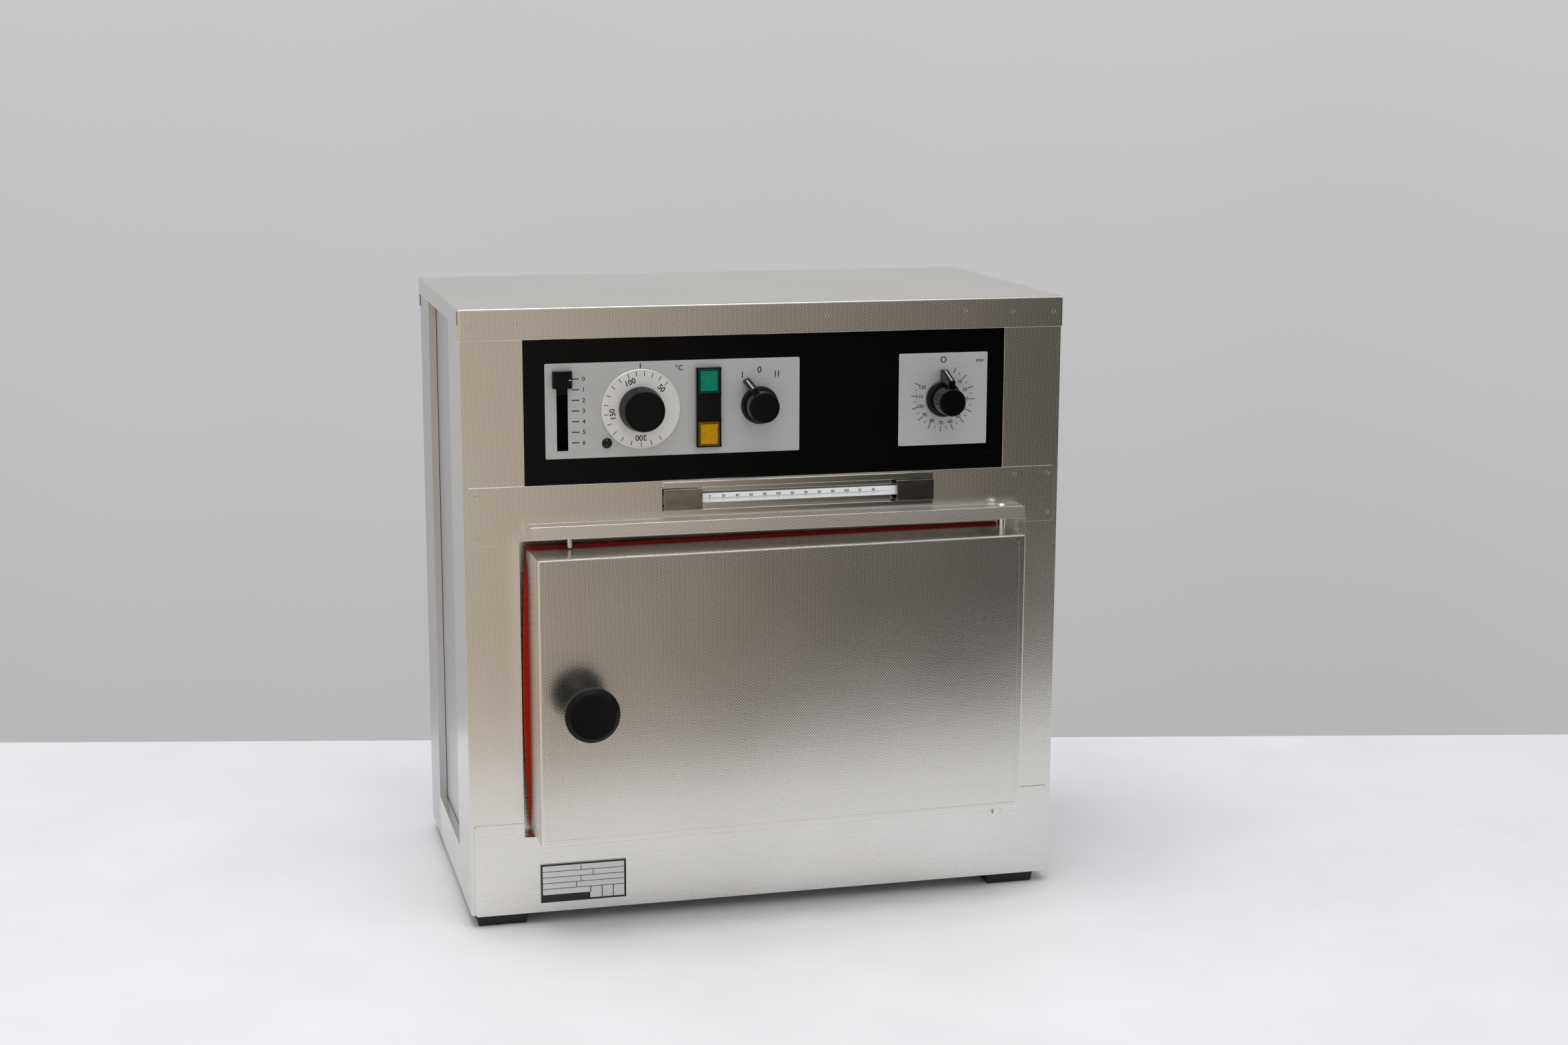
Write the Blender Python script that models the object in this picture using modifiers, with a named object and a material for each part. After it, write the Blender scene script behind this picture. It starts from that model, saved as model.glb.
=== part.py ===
"""A small bench oven: sheet-steel casing, side-hinged door, control panel and heated chamber.

Metres, +Z up. The front faces -Y. The body frame has X = 0 in the middle of the casing,
Y = 0 on the front posts' face and Z = 0 under the casing; its empty stands on the feet, so
that the origin of the finished part is the middle of its footprint on the bench.
"""
from math import cos, pi, radians, sin, sqrt

import bmesh
import bpy
from mathutils import Matrix, Vector

# Stock and fits
SHEET = 0.0008
GAP = 0.0003
OVERRUN = 0.004
WELD = 0.00001
HOLE_CLEARANCE = 0.0006
ROUND_STEPS = 32
SMALL_STEPS = 16
CORNER_STEPS = 4

# Casing
BODY_WIDTH = 0.4684
BODY_DEPTH = 0.265
FOOT_HEIGHT = 0.010
FOOT_WIDTH = 0.040
FOOT_DEPTH = 0.032
FOOT_TAPER = 0.0015
FOOT_SIDE_INSET = 0.0042
RIGHT_FOOT_INSET = 0.0122
FOOT_FRONT_INSET = 0.002
FRONT_POST_DEPTH = 0.070
REAR_POST_DEPTH = 0.060
POST_FACE_WIDTH = 0.0464
REAR_FACE_WIDTH = 0.034
SIDE_RECESS = 0.006
SIDE_SILL_HEIGHT = 0.034
SIDE_PANEL_MARGIN = 0.012
SIDE_PANEL_TOP_GAP = 0.006
BASE_RAIL_DROP = 0.001
BASE_RAIL_HEIGHT = 0.072
RAIL_INSET = 0.003
RAIL_CORNER = 0.0025
MID_RAIL_HEIGHT = 0.0442
MID_RAIL_DROP = 0.0024
MID_RAIL_SHELF = 0.0045
PANEL_HEIGHT = 0.1089
COVER_LIP_HEIGHT = 0.0237
COVER_SIDE_LIP = 0.0135
COVER_CORNER_SLIT = 0.010
COVER_EDGE_RADIUS = 0.0016

# Door opening and chamber
LEFT_JAMB_WIDTH = 0.0417
RIGHT_JAMB_WIDTH = 0.0262
OPENING_BOTTOM = 0.060
OPENING_HEIGHT = 0.231
REVEAL_DEPTH = 0.0117
CHAMBER_DEPTH = 0.203
CHAMBER_SIDE_WALL = 0.0742
CHAMBER_END_STEP = 0.028
FLANGE_MARGIN = 0.0082
INSULATION_TOP_THICKNESS = 0.060
HEATER_RADIUS = 0.0032
HEATER_RUNS = 6
HEATER_MARGIN = 0.030
HEATER_ROOM = 0.0082
SHELF_RISE = 0.080
SHELF_RAIL_WIDTH = 0.007
SHELF_RAIL_HEIGHT = 0.005
SHELF_SIDE_GAP = 0.002
SHELF_BAR = 0.003
SHELF_RIM = 0.006
SHELF_FRONT_INSET = 0.008
SHELF_GAPS = 16

# Door
AJAR_ANGLE = radians(1.75)
DOOR_LEFT_CLEARANCE = 0.0049
DOOR_RIGHT_CLEARANCE = 0.0126
DOOR_BOTTOM_CLEARANCE = 0.0055
DOOR_TOP_CLEARANCE = 0.0056
DOOR_PROUD = 0.03635
DOOR_ENTRY = 0.0085
DOOR_EDGE_RADIUS = 0.002
HINGE_SIDE_INSET = 0.0114
HINGE_FORWARD = 0.012
HINGE_PIN_RADIUS = 0.003
HINGE_PIN_ENGAGEMENT = 0.0095
PIN_POCKET = 0.010
GASKET_SIDE_FLARE = 0.0039
GASKET_END_FLARE = 0.0045
GASKET_HINGE_INSET = 0.0074
GASKET_WIDTH = 0.016
DOOR_KNOB_INSET = 0.0332
DOOR_KNOB_RISE = 0.1096
DOOR_KNOB_RADIUS = 0.0207
DOOR_KNOB_HEIGHT = 0.037
DOOR_KNOB_FACE_RADIUS = 0.0181
DOOR_KNOB_SHOULDER = 0.005
DOOR_KNOB_RIM = 0.0015
DOOR_KNOB_NECK_RADIUS = 0.0082
NECK_SHARE = 0.35
KNOB_SCREW_RADIUS = 0.0025
KNOB_SCREW_HEAD = 0.0045
KNOB_SCREW_HEAD_HEIGHT = 0.003
KNOB_SCREW_REACH = 0.014

# Ledge over the door, upper hinge screw and catch
LEDGE_LEFT_INSET = 0.0472
LEDGE_RIGHT_INSET = 0.0322
LEDGE_REACH = 0.0156
LEDGE_HEIGHT = 0.0094
LEDGE_RISE = 0.0036
HINGE_HEAD_RADIUS = 0.0037
HINGE_HEAD_HEIGHT = 0.0017
HINGE_NECK_RADIUS = 0.0025
HINGE_BARREL_RADIUS = 0.0036
CATCH_INSET = 0.031
CATCH_FORWARD = 0.009
CATCH_PIN_RADIUS = 0.0023
CATCH_PIN_SHOW = 0.0006
CATCH_PIN_LENGTH = 0.0115
CATCH_GUIDE_RADIUS = 0.0046

# Lower hinge bracket
BRACKET_WIDTH = 0.020
BRACKET_SHEET = 0.002
BRACKET_REACH = 0.0176
BRACKET_LEG = 0.008
BRACKET_DOOR_GAP = 0.002
LOWER_HEAD_RADIUS = 0.004
LOWER_HEAD_HEIGHT = 0.0066
LOWER_COLLAR_RADIUS = 0.0045

# Thermometer and its holder in the middle rail
HOLDER_LEFT_INSET = 0.151
HOLDER_LENGTH = 0.2139
HOLDER_RISE = 0.0166
HOLDER_FLANGE = 0.0048
TROUGH_HEIGHT = 0.0168
TROUGH_DEPTH = 0.0062
GLASS_RADIUS = 0.00385
CLIP_LENGTH = 0.030
CLIP_LEG = 0.005

# Control panel
PANEL_SET_BACK = 0.0011
PANEL_THICKNESS = 0.002
PANEL_OVERLAP = 0.007
PLATE_THICKNESS = 0.0005
PLATE_CORNER = 0.001
PLATE_HEIGHT = 0.0717
PLATE_RISE = 0.0192
CONTROL_LEFT_INSET = 0.0625
CONTROL_PLATE_WIDTH = 0.1954
TIMER_RIGHT_INSET = 0.0599
TIMER_PLATE_WIDTH = 0.0715
CONTROL_AXIS_RISE = 0.0552
BODY_SET_BACK = 0.0003
STEM_RADIUS = 0.003
STEM_REACH = 0.010

# Temperature dial
DIAL_INSET = 0.0723
DIAL_RADIUS = 0.030
DIAL_THICKNESS = 0.0015
DIAL_KNOB_RADIUS = 0.01725
DIAL_KNOB_HEIGHT = 0.0155
DIAL_KNOB_TAPER = 0.0008
THERMOSTAT_WIDTH = 0.036
THERMOSTAT_HEIGHT = 0.052
THERMOSTAT_DEPTH = 0.034
SENSOR_RADIUS = 0.003
CAPILLARY_RADIUS = 0.0012
SENSOR_LENGTH = 0.062
SENSOR_REACH = 0.022
SENSOR_BACK = 0.022

# Adjusting cap under the dial
ADJUSTER_INSET = 0.0465
ADJUSTER_DROP = 0.0253
ADJUSTER_RADIUS = 0.00485
ADJUSTER_HEIGHT = 0.003
ADJUSTER_SLOT = 0.0012
ADJUSTER_STEM_RADIUS = 0.0015
ADJUSTER_STEM_REACH = 0.006
ADJUSTER_BODY_RADIUS = 0.006
ADJUSTER_BODY_DEPTH = 0.012

# Lamp stack
LAMP_INSET = 0.124
LAMP_WIDTH = 0.019
LAMP_HEIGHT = 0.0606
LAMP_RISE = -0.0003
LAMP_PROUD = 0.0035
LAMP_BODY_DEPTH = 0.018
LAMP_RIM = 0.0009
LENS_PROUD = 0.0006
LENS_SEAT = 0.0022
LENS_FACET = 0.0006

# Pointer knobs of the switch and the timer
SKIRT_HEIGHT = 0.003
SKIRT_TOP = 0.006
KNOB_FACE_EDGE = 0.0008
FIN_WIDTH = 0.0055
FIN_REACH = 0.0228
FIN_FRONT_REACH = 0.004
FIN_TIP_HEIGHT = 0.0035
FIN_SET_BACK = 0.0018
FIN_ROOT = 0.006

# Rotary switch
SWITCH_INSET = 0.1639
SWITCH_BASE_RADIUS = 0.0145
SWITCH_DRUM_RADIUS = 0.0122
SWITCH_HEIGHT = 0.0172
SWITCH_REST = radians(-29)
SWITCH_BODY_WIDTH = 0.030
SWITCH_BODY_DEPTH = 0.032

# Timer
TIMER_BASE_RADIUS = 0.014
TIMER_DRUM_RADIUS = 0.011
TIMER_HEIGHT = 0.0244
TIMER_BODY_WIDTH = 0.046
TIMER_BODY_DEPTH = 0.040

# Vent slider, its rod and the flap in the exhaust pipe
SLOT_INSET = 0.0129
SLOT_WIDTH = 0.0085
SLOT_RISE = 0.0058
SLOT_HEIGHT = 0.0601
VENT_TRAVEL = 0.048
VENT_KNOB_WIDTH = 0.015
VENT_KNOB_FACE = 0.0105
VENT_KNOB_HEIGHT = 0.013
VENT_KNOB_PROUD = 0.0065
VENT_STEM_WIDTH = 0.006
VENT_STEM_HEIGHT = 0.0096
VENT_CARRIAGE_WIDTH = 0.016
VENT_CARRIAGE_HEIGHT = 0.024
VENT_CARRIAGE_THICKNESS = 0.0016
VENT_ROD_RADIUS = 0.002
VENT_PIN_RADIUS = 0.0015
VENT_PIN_LENGTH = 0.012
PIPE_BESIDE_LEVER = 0.04405
PIPE_RADIUS = 0.015
PIPE_WALL = 0.001
UPRIGHT_RADIUS = 0.0125
PIPE_BACK_INSET = 0.075
PIPE_OUTREACH = 0.018
FLAP_CLEARANCE = 0.0005
FLAP_THICKNESS = 0.0012
FLAP_BACK_INSET = 0.030
FLAP_SHAFT_RADIUS = 0.002
LEVER_WIDTH = 0.0124
LEVER_SHEET = 0.003
LEVER_SLOT = 0.0078
LEVER_TIP = 0.0033
LEVER_ROD_GAP = 0.0048

# Rear inlet and data plate
GLAND_RADIUS = 0.010
GLAND_NUT_RADIUS = 0.012
GLAND_NUT_HEIGHT = 0.004
GLAND_THREAD_RADIUS = 0.0075
GLAND_BORE_RADIUS = 0.004
GLAND_OUTREACH = 0.012
GLAND_INSET = 0.060
GLAND_RISE = 0.030
REAR_SLOTS = 6
REAR_SLOT_LENGTH = 0.070
REAR_SLOT_WIDTH = 0.003
REAR_SLOT_PITCH = 0.010
REAR_SLOT_RISE = 0.040
DATA_PLATE_INSET = 0.053
DATA_PLATE_WIDTH = 0.0672
DATA_PLATE_HEIGHT = 0.0312
DATA_PLATE_RISE = 0.0073
DATA_PLATE_THICKNESS = 0.0004

# Places worked out from the sizes above
BODY_HALF = BODY_WIDTH / 2
OPENING_LEFT = -BODY_HALF + LEFT_JAMB_WIDTH
OPENING_RIGHT = BODY_HALF - RIGHT_JAMB_WIDTH
OPENING_TOP = OPENING_BOTTOM + OPENING_HEIGHT
RAIL_FACE = -GAP - SHEET
MID_RAIL_BOTTOM = OPENING_TOP - MID_RAIL_DROP
MID_RAIL_TOP = MID_RAIL_BOTTOM + MID_RAIL_HEIGHT
PANEL_BOTTOM = MID_RAIL_TOP + GAP
PANEL_TOP = PANEL_BOTTOM + PANEL_HEIGHT
BODY_TOP = PANEL_TOP + COVER_LIP_HEIGHT + GAP
POST_TOP = BODY_TOP - COVER_EDGE_RADIUS - GAP
PANEL_HALF = BODY_HALF - POST_FACE_WIDTH
PANEL_FACE = PANEL_SET_BACK
PANEL_BACK = PANEL_FACE + PANEL_THICKNESS
PLATE_FACE = PANEL_FACE - GAP - PLATE_THICKNESS
CONTROL_FRONT = PLATE_FACE - GAP
BEHIND_PANEL = PANEL_BACK + BODY_SET_BACK
AXIS_Z = PANEL_BOTTOM + CONTROL_AXIS_RISE
PLATE_BOTTOM = PANEL_BOTTOM + PLATE_RISE
CONTROL_LEFT = -BODY_HALF + CONTROL_LEFT_INSET
TIMER_PLATE_RIGHT = BODY_HALF - TIMER_RIGHT_INSET
TIMER_X = TIMER_PLATE_RIGHT - TIMER_PLATE_WIDTH / 2
DIAL_X = CONTROL_LEFT + DIAL_INSET
SWITCH_X = CONTROL_LEFT + SWITCH_INSET
LAMP_X = CONTROL_LEFT + LAMP_INSET
LAMP_Z = AXIS_Z + LAMP_RISE
ADJUSTER_X = CONTROL_LEFT + ADJUSTER_INSET
ADJUSTER_Z = AXIS_Z - ADJUSTER_DROP
SLOT_X = CONTROL_LEFT + SLOT_INSET
SLOT_BOTTOM = PLATE_BOTTOM + SLOT_RISE
SLOT_Z = SLOT_BOTTOM + SLOT_HEIGHT / 2
VENT_REST_Z = SLOT_Z + VENT_TRAVEL / 2

DOOR_LEFT = OPENING_LEFT + DOOR_LEFT_CLEARANCE
DOOR_RIGHT = OPENING_RIGHT - DOOR_RIGHT_CLEARANCE
DOOR_BOTTOM = OPENING_BOTTOM + DOOR_BOTTOM_CLEARANCE
DOOR_TOP = OPENING_TOP - DOOR_TOP_CLEARANCE
DOOR_FACE = -DOOR_PROUD
HINGE = Vector((DOOR_RIGHT - HINGE_SIDE_INSET, -HINGE_FORWARD, DOOR_BOTTOM))
LEDGE_FRONT = RAIL_FACE - GAP - LEDGE_REACH
LEDGE_BOTTOM = OPENING_TOP + LEDGE_RISE
LEDGE_TOP = LEDGE_BOTTOM + LEDGE_HEIGHT

CHAMBER_X = (OPENING_LEFT + OPENING_RIGHT) / 2
CHAMBER_WIDTH = BODY_WIDTH - 2 * CHAMBER_SIDE_WALL
CHAMBER_BOTTOM = OPENING_BOTTOM + CHAMBER_END_STEP
CHAMBER_TOP = OPENING_TOP - CHAMBER_END_STEP
LINER_FACE = REVEAL_DEPTH + GAP
CHAMBER_BACK = LINER_FACE + CHAMBER_DEPTH
FLANGE_HALF = BODY_HALF - FLANGE_MARGIN
FLANGE_BOTTOM = OPENING_BOTTOM - FLANGE_MARGIN
FLANGE_TOP = OPENING_TOP + FLANGE_MARGIN
INSULATION_TOP = CHAMBER_TOP + INSULATION_TOP_THICKNESS

LEVER_X = SLOT_X + LEVER_ROD_GAP + LEVER_SHEET / 2
PIPE_X = LEVER_X + PIPE_BESIDE_LEVER
PIPE_Y = BODY_DEPTH - PIPE_BACK_INSET
PIPE_BORE = PIPE_RADIUS - PIPE_WALL
PIPE_END = BODY_DEPTH + PIPE_OUTREACH
FLAP_Y = BODY_DEPTH - FLAP_BACK_INSET
ROD_END_Y = FLAP_Y - VENT_TRAVEL / 2

SHELF_FRONT = LINER_FACE + SHELF_FRONT_INSET
SHELF_BACK = CHAMBER_BACK - SHELF_SIDE_GAP
SHELF_SEAT = CHAMBER_BOTTOM + SHELF_RISE
KNOB_Z = DOOR_BOTTOM + DOOR_KNOB_RISE
LEDGE_LEFT = -BODY_HALF + LEDGE_LEFT_INSET
LEDGE_RIGHT = BODY_HALF - LEDGE_RIGHT_INSET
HOLDER_LEFT = -BODY_HALF + HOLDER_LEFT_INSET
HOLDER_RIGHT = HOLDER_LEFT + HOLDER_LENGTH
TROUGH_BOTTOM = MID_RAIL_BOTTOM + HOLDER_RISE + HOLDER_FLANGE
TROUGH_CENTRE = ((HOLDER_LEFT + HOLDER_RIGHT) / 2, TROUGH_BOTTOM + TROUGH_HEIGHT / 2)
GLAND_X = BODY_HALF - GLAND_INSET
GLAND_Z = INSULATION_TOP + GLAND_RISE
SENSOR_Y = BEHIND_PANEL + SENSOR_BACK

# The ajar door's knob reaches furthest forward and the exhaust pipe furthest back
KNOB_X = DOOR_LEFT + DOOR_KNOB_INSET
KNOB_FACE = DOOR_FACE - GAP - DOOR_KNOB_HEIGHT
KNOB_EDGE = Vector((KNOB_X - DOOR_KNOB_FACE_RADIUS - HINGE.x, KNOB_FACE - HINGE.y))
FRONT_REACH = HINGE.y + KNOB_EDGE.x * sin(AJAR_ANGLE) + KNOB_EDGE.y * cos(AJAR_ANGLE)
MIDDLE_Y = (FRONT_REACH + PIPE_END) / 2

# Turns that lay a drawing in the XY plane on the front, or along the casing
FACING_FRONT = (pi / 2, 0, 0)
ALONG_X = (pi / 2, 0, pi / 2)
LEVEL = (0, 0, 0)
OFF_SEAM = (0, 0, pi / (2 * ROUND_STEPS))

for old in list(bpy.data.objects):
    bpy.data.objects.remove(old, do_unlink=True)

parts = bpy.data.collections.new("laboratory_oven")
cutters = bpy.data.collections.new("cutters")
bpy.context.scene.collection.children.link(parts)
bpy.context.scene.collection.children.link(cutters)


def linear(channel):
    return channel / 12.92 if channel <= 0.04045 else ((channel + 0.055) / 1.055) ** 2.4


def make_material(name, colour, roughness, metallic=0.0):
    """A Principled material from an sRGB hex colour such as 'C8C4BC'."""
    made = bpy.data.materials.new(name)
    made.use_nodes = True
    shader = made.node_tree.nodes["Principled BSDF"]
    channels = [linear(int(colour[i:i + 2], 16) / 255) for i in (0, 2, 4)]
    shader.inputs["Base Color"].default_value = (*channels, 1)
    shader.inputs["Roughness"].default_value = roughness
    shader.inputs["Metallic"].default_value = metallic
    made.diffuse_color = (*channels, 1)
    return made


EMBOSSED = make_material("embossed stainless steel", "B9B2A6", 0.34, 1.0)
BRUSHED = make_material("brushed stainless steel", "C4BFB5", 0.30, 1.0)
POLISHED = make_material("polished stainless steel", "D6D4CF", 0.12, 1.0)
ZINC = make_material("zinc plated steel", "B4B4AE", 0.42, 1.0)
PANEL_BLACK = make_material("gloss black enamel", "0B0B0D", 0.12)
SCALE_SILVER = make_material("satin anodised scale plate", "B9B9B8", 0.42, 0.6)
BAKELITE = make_material("black phenolic", "121214", 0.28)
DIAL_SILVER = make_material("satin aluminium dial", "CFCFCE", 0.38, 0.6)
CASE_GREY = make_material("grey moulded case", "55575A", 0.55)
RED_RUBBER = make_material("red silicone rubber", "8E1F17", 0.62)
BLACK_RUBBER = make_material("black rubber", "141414", 0.72)
WOOL = make_material("mineral wool", "A89A72", 0.95)
GREEN_LENS = make_material("green lens", "0A8A6C", 0.15)
YELLOW_LENS = make_material("yellow lens", "C99A0C", 0.15)
GLASS = make_material("thermometer glass", "DADFE0", 0.05)
HEATER_STEEL = make_material("heater sheath", "5E5650", 0.50, 1.0)
ANODISED = make_material("anodised label", "C9C9C5", 0.40, 1.0)


def empty_at(name, place, turn=LEVEL, parent=None):
    """An empty that carries pieces: the body frame, or a moving piece's axis."""
    made = bpy.data.objects.new(name, None)
    made.location = place
    made.rotation_euler = turn
    made.parent = parent
    made.empty_display_size = FOOT_WIDTH
    bpy.context.scene.collection.objects.link(made)
    return made


BODY = empty_at("body_frame", (0, -MIDDLE_Y, FOOT_HEIGHT))
DOOR = empty_at("door_axis", HINGE, (0, 0, AJAR_ANGLE), BODY)


def place(name, mesh, spot, turn=LEVEL, finish=None, carrier=BODY):
    """A finished part, or a hidden guide that cuts or joins when it has no finish."""
    made = bpy.data.objects.new(name, mesh)
    made.location = Vector(spot) - (HINGE if carrier is DOOR else Vector((0, 0, 0)))
    made.rotation_euler = turn
    made.parent = carrier
    if finish is None:
        made.hide_render = True
        made.display_type = "WIRE"
        cutters.objects.link(made)
    else:
        mesh.materials.append(finish)
        parts.objects.link(made)
    return made


def box_mesh(name, size):
    mesh = bpy.data.meshes.new(name)
    form = bmesh.new()
    bmesh.ops.create_cube(form, size=1, matrix=Matrix.Diagonal((*size, 1)))
    form.to_mesh(mesh)
    form.free()
    return mesh


def box(name, low, high, finish=None, carrier=BODY):
    """A block between its lowest and highest corners in the body frame."""
    low, high = Vector(low), Vector(high)
    return place(name, box_mesh(name, high - low), (low + high) / 2, LEVEL, finish, carrier)


def flat_mesh(name, outlines, thickness):
    """A welded plate in the XY plane from a closed outline and the holes after it."""
    drawing = bpy.data.curves.new(name, "CURVE")
    drawing.dimensions = "2D"
    drawing.fill_mode = "BOTH"
    drawing.extrude = thickness / 2
    for outline in outlines:
        spline = drawing.splines.new("POLY")
        spline.points.add(len(outline) - 1)
        for point, (x, y) in zip(spline.points, outline):
            point.co = (x, y, 0, 1)
        spline.use_cyclic_u = True
    return mesh_of_curve(name, drawing)


def mesh_of_curve(name, drawing):
    """The curve's own mesh with its loose caps welded on, and the curve removed."""
    holder = bpy.data.objects.new(name + "_curve", drawing)
    bpy.context.scene.collection.objects.link(holder)
    view = bpy.context.evaluated_depsgraph_get()
    mesh = bpy.data.meshes.new_from_object(holder.evaluated_get(view))
    bpy.data.objects.remove(holder, do_unlink=True)
    form = bmesh.new()
    form.from_mesh(mesh)
    bmesh.ops.remove_doubles(form, verts=form.verts, dist=WELD)
    bmesh.ops.recalc_face_normals(form, faces=form.faces)
    form.to_mesh(mesh)
    form.free()
    mesh.name = name
    return mesh


def rectangle(width, height, radius=0.0, centre=(0, 0)):
    """The outline of a rectangle, with round corners where a radius is given."""
    if radius == 0:
        corners = ((-1, -1), (1, -1), (1, 1), (-1, 1))
        return [(centre[0] + sx * width / 2, centre[1] + sy * height / 2) for sx, sy in corners]
    outline = []
    for quarter, (sx, sy) in enumerate(((1, 1), (-1, 1), (-1, -1), (1, -1))):
        for step in range(CORNER_STEPS + 1):
            angle = (quarter + step / CORNER_STEPS) * pi / 2
            x = centre[0] + sx * (width / 2 - radius) + radius * cos(angle)
            y = centre[1] + sy * (height / 2 - radius) + radius * sin(angle)
            outline.append((x, y))
    return outline


def circle(radius, centre=(0, 0), steps=SMALL_STEPS):
    turns = [2 * pi * step / steps for step in range(steps)]
    return [(centre[0] + radius * cos(turn), centre[1] + radius * sin(turn)) for turn in turns]


def sheet_outline(path, wall):
    """The closed outline of a sheet folded along a path; a positive wall lies on its left."""
    points = [Vector(point) for point in path]
    sides = [(after - before).normalized() for before, after in zip(points, points[1:])]
    normals = [Vector((-side.y, side.x)) for side in sides]
    inner = []
    for index, point in enumerate(points):
        before = normals[max(index - 1, 0)]
        after = normals[min(index, len(normals) - 1)]
        joint = before + after if before != after else before
        inner.append(point + joint * wall / joint.dot(before))
    return [tuple(point) for point in points + inner[::-1]]


def front_plate(name, outlines, back, thickness, finish):
    """A plate drawn in X and Z whose back face lies at a depth."""
    mesh = flat_mesh(name, outlines, thickness)
    return place(name, mesh, (0, back - thickness / 2, 0), FACING_FRONT, finish)


def post(name, outline, bottom, top, finish=None):
    """An upright folded sheet drawn in X and Y."""
    mesh = flat_mesh(name, [outline], top - bottom)
    return place(name, mesh, (0, 0, (bottom + top) / 2), LEVEL, finish)


def channel(name, outline, left, right, finish=None, carrier=BODY):
    """A folded sheet drawn in Y and Z that runs along X."""
    mesh = flat_mesh(name, [outline], right - left)
    return place(name, mesh, ((left + right) / 2, 0, 0), ALONG_X, finish, carrier)


def turned_mesh(name, profile, steps=ROUND_STEPS, closed=False):
    """A solid of revolution about Z; the profile of (radius, height) runs top to bottom."""
    count = len(profile)
    edges = [(index, (index + 1) % count) for index in range(count if closed else count - 1)]
    drawing = bpy.data.meshes.new(name)
    drawing.from_pydata([(radius, 0, height) for radius, height in profile], edges, [])
    holder = bpy.data.objects.new(name + "_profile", drawing)
    bpy.context.scene.collection.objects.link(holder)
    screw = holder.modifiers.new("turning", "SCREW")
    screw.steps = steps
    screw.render_steps = steps
    screw.use_merge_vertices = True
    screw.merge_threshold = WELD
    view = bpy.context.evaluated_depsgraph_get()
    mesh = bpy.data.meshes.new_from_object(holder.evaluated_get(view))
    bpy.data.objects.remove(holder, do_unlink=True)
    mesh.shade_smooth()
    mesh.set_sharp_from_angle(angle=radians(30))
    mesh.name = name
    return mesh


def turned(name, profile, spot, turn=LEVEL, finish=None, carrier=BODY, steps=ROUND_STEPS):
    """A turned piece that stands on its own axis."""
    return place(name, turned_mesh(name, profile, steps), spot, turn, finish, carrier)


def ring(name, outer, bore, bottom, top, spot, turn=LEVEL, finish=None, carrier=BODY):
    """A bush or washer between two heights on its axis."""
    profile = [(outer, top), (outer, bottom), (bore, bottom), (bore, top)]
    return place(name, turned_mesh(name, profile, SMALL_STEPS, True), spot, turn, finish, carrier)


def rod(name, radius, bottom, top, spot, turn=LEVEL, finish=None, carrier=BODY, steps=SMALL_STEPS):
    """A plain round bar along the turned Z axis."""
    profile = [(0, top), (radius, top), (radius, bottom), (0, bottom)]
    return turned(name, profile, spot, turn, finish, carrier, steps)


def boolean(piece, operation, *guides):
    for guide in guides:
        step = piece.modifiers.new(guide.name, "BOOLEAN")
        step.operation = operation
        step.solver = "EXACT"
        step.object = guide
    return piece


def cut(piece, *guides):
    return boolean(piece, "DIFFERENCE", *guides)


def join(piece, *guides):
    return boolean(piece, "UNION", *guides)


def tray(name, low, high, open_side, radius, finish, carrier=BODY):
    """A folded sheet box: a cube without one face, with round edges and a wall inwards."""
    low, high = Vector(low), Vector(high)
    mesh = box_mesh(name, high - low)
    form = bmesh.new()
    form.from_mesh(mesh)
    mouth = [face for face in form.faces if face.normal.dot(Vector(open_side)) > cos(pi / 4)]
    bmesh.ops.delete(form, geom=mouth, context="FACES_ONLY")
    form.to_mesh(mesh)
    form.free()
    made = place(name, mesh, (low + high) / 2, LEVEL, finish, carrier)
    edge = made.modifiers.new("folds", "BEVEL")
    edge.width = radius
    edge.segments = 2
    wall = made.modifiers.new("sheet", "SOLIDIFY")
    wall.thickness = SHEET
    wall.offset = -1
    wall.use_even_offset = True
    return made


def local_box(name, low, high, spot, turn, carrier=BODY):
    """A guide block between two corners in the frame of a turned piece."""
    low, high = Vector(low), Vector(high)
    mesh = box_mesh(name, high - low)
    mesh.transform(Matrix.Translation((low + high) / 2))
    return place(name, mesh, spot, turn, None, carrier)


# The casing


def front_post(side, word):
    """A folded upright: face, side and return, with a jamb that lines the door opening."""
    jamb = OPENING_LEFT if side < 0 else OPENING_RIGHT
    outside = [(side * BODY_HALF, 0), (side * BODY_HALF, FRONT_POST_DEPTH),
               (side * (BODY_HALF - SIDE_RECESS), FRONT_POST_DEPTH)]
    upper = sheet_outline([(side * PANEL_HALF, 0)] + outside, side * SHEET)
    lower = sheet_outline([(jamb, REVEAL_DEPTH), (jamb, 0)] + outside, side * SHEET)
    jamb_top = (MID_RAIL_BOTTOM + MID_RAIL_TOP) / 2
    made = post(word + "_front_post", lower, 0, jamb_top, EMBOSSED)
    return join(made, post(word + "_post_head", upper, jamb_top - OVERRUN, POST_TOP))


def rear_post(side, word):
    front = BODY_DEPTH - REAR_POST_DEPTH
    path = [(side * (BODY_HALF - SIDE_RECESS), front), (side * BODY_HALF, front),
            (side * BODY_HALF, BODY_DEPTH), (side * (BODY_HALF - REAR_FACE_WIDTH), BODY_DEPTH)]
    return post(word + "_rear_post", sheet_outline(path, side * SHEET), 0, POST_TOP, BRUSHED)


def side_sill(side, word):
    inner, outer = side * (BODY_HALF - SIDE_RECESS), side * BODY_HALF
    path = [(inner, SIDE_SILL_HEIGHT), (outer, SIDE_SILL_HEIGHT), (outer, 0), (inner, 0)]
    back = BODY_DEPTH - REAR_POST_DEPTH - GAP
    length = back - FRONT_POST_DEPTH - GAP
    return front_plate(word + "_side_sill", [sheet_outline(path, -side * SHEET)], back, length, BRUSHED)


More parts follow.
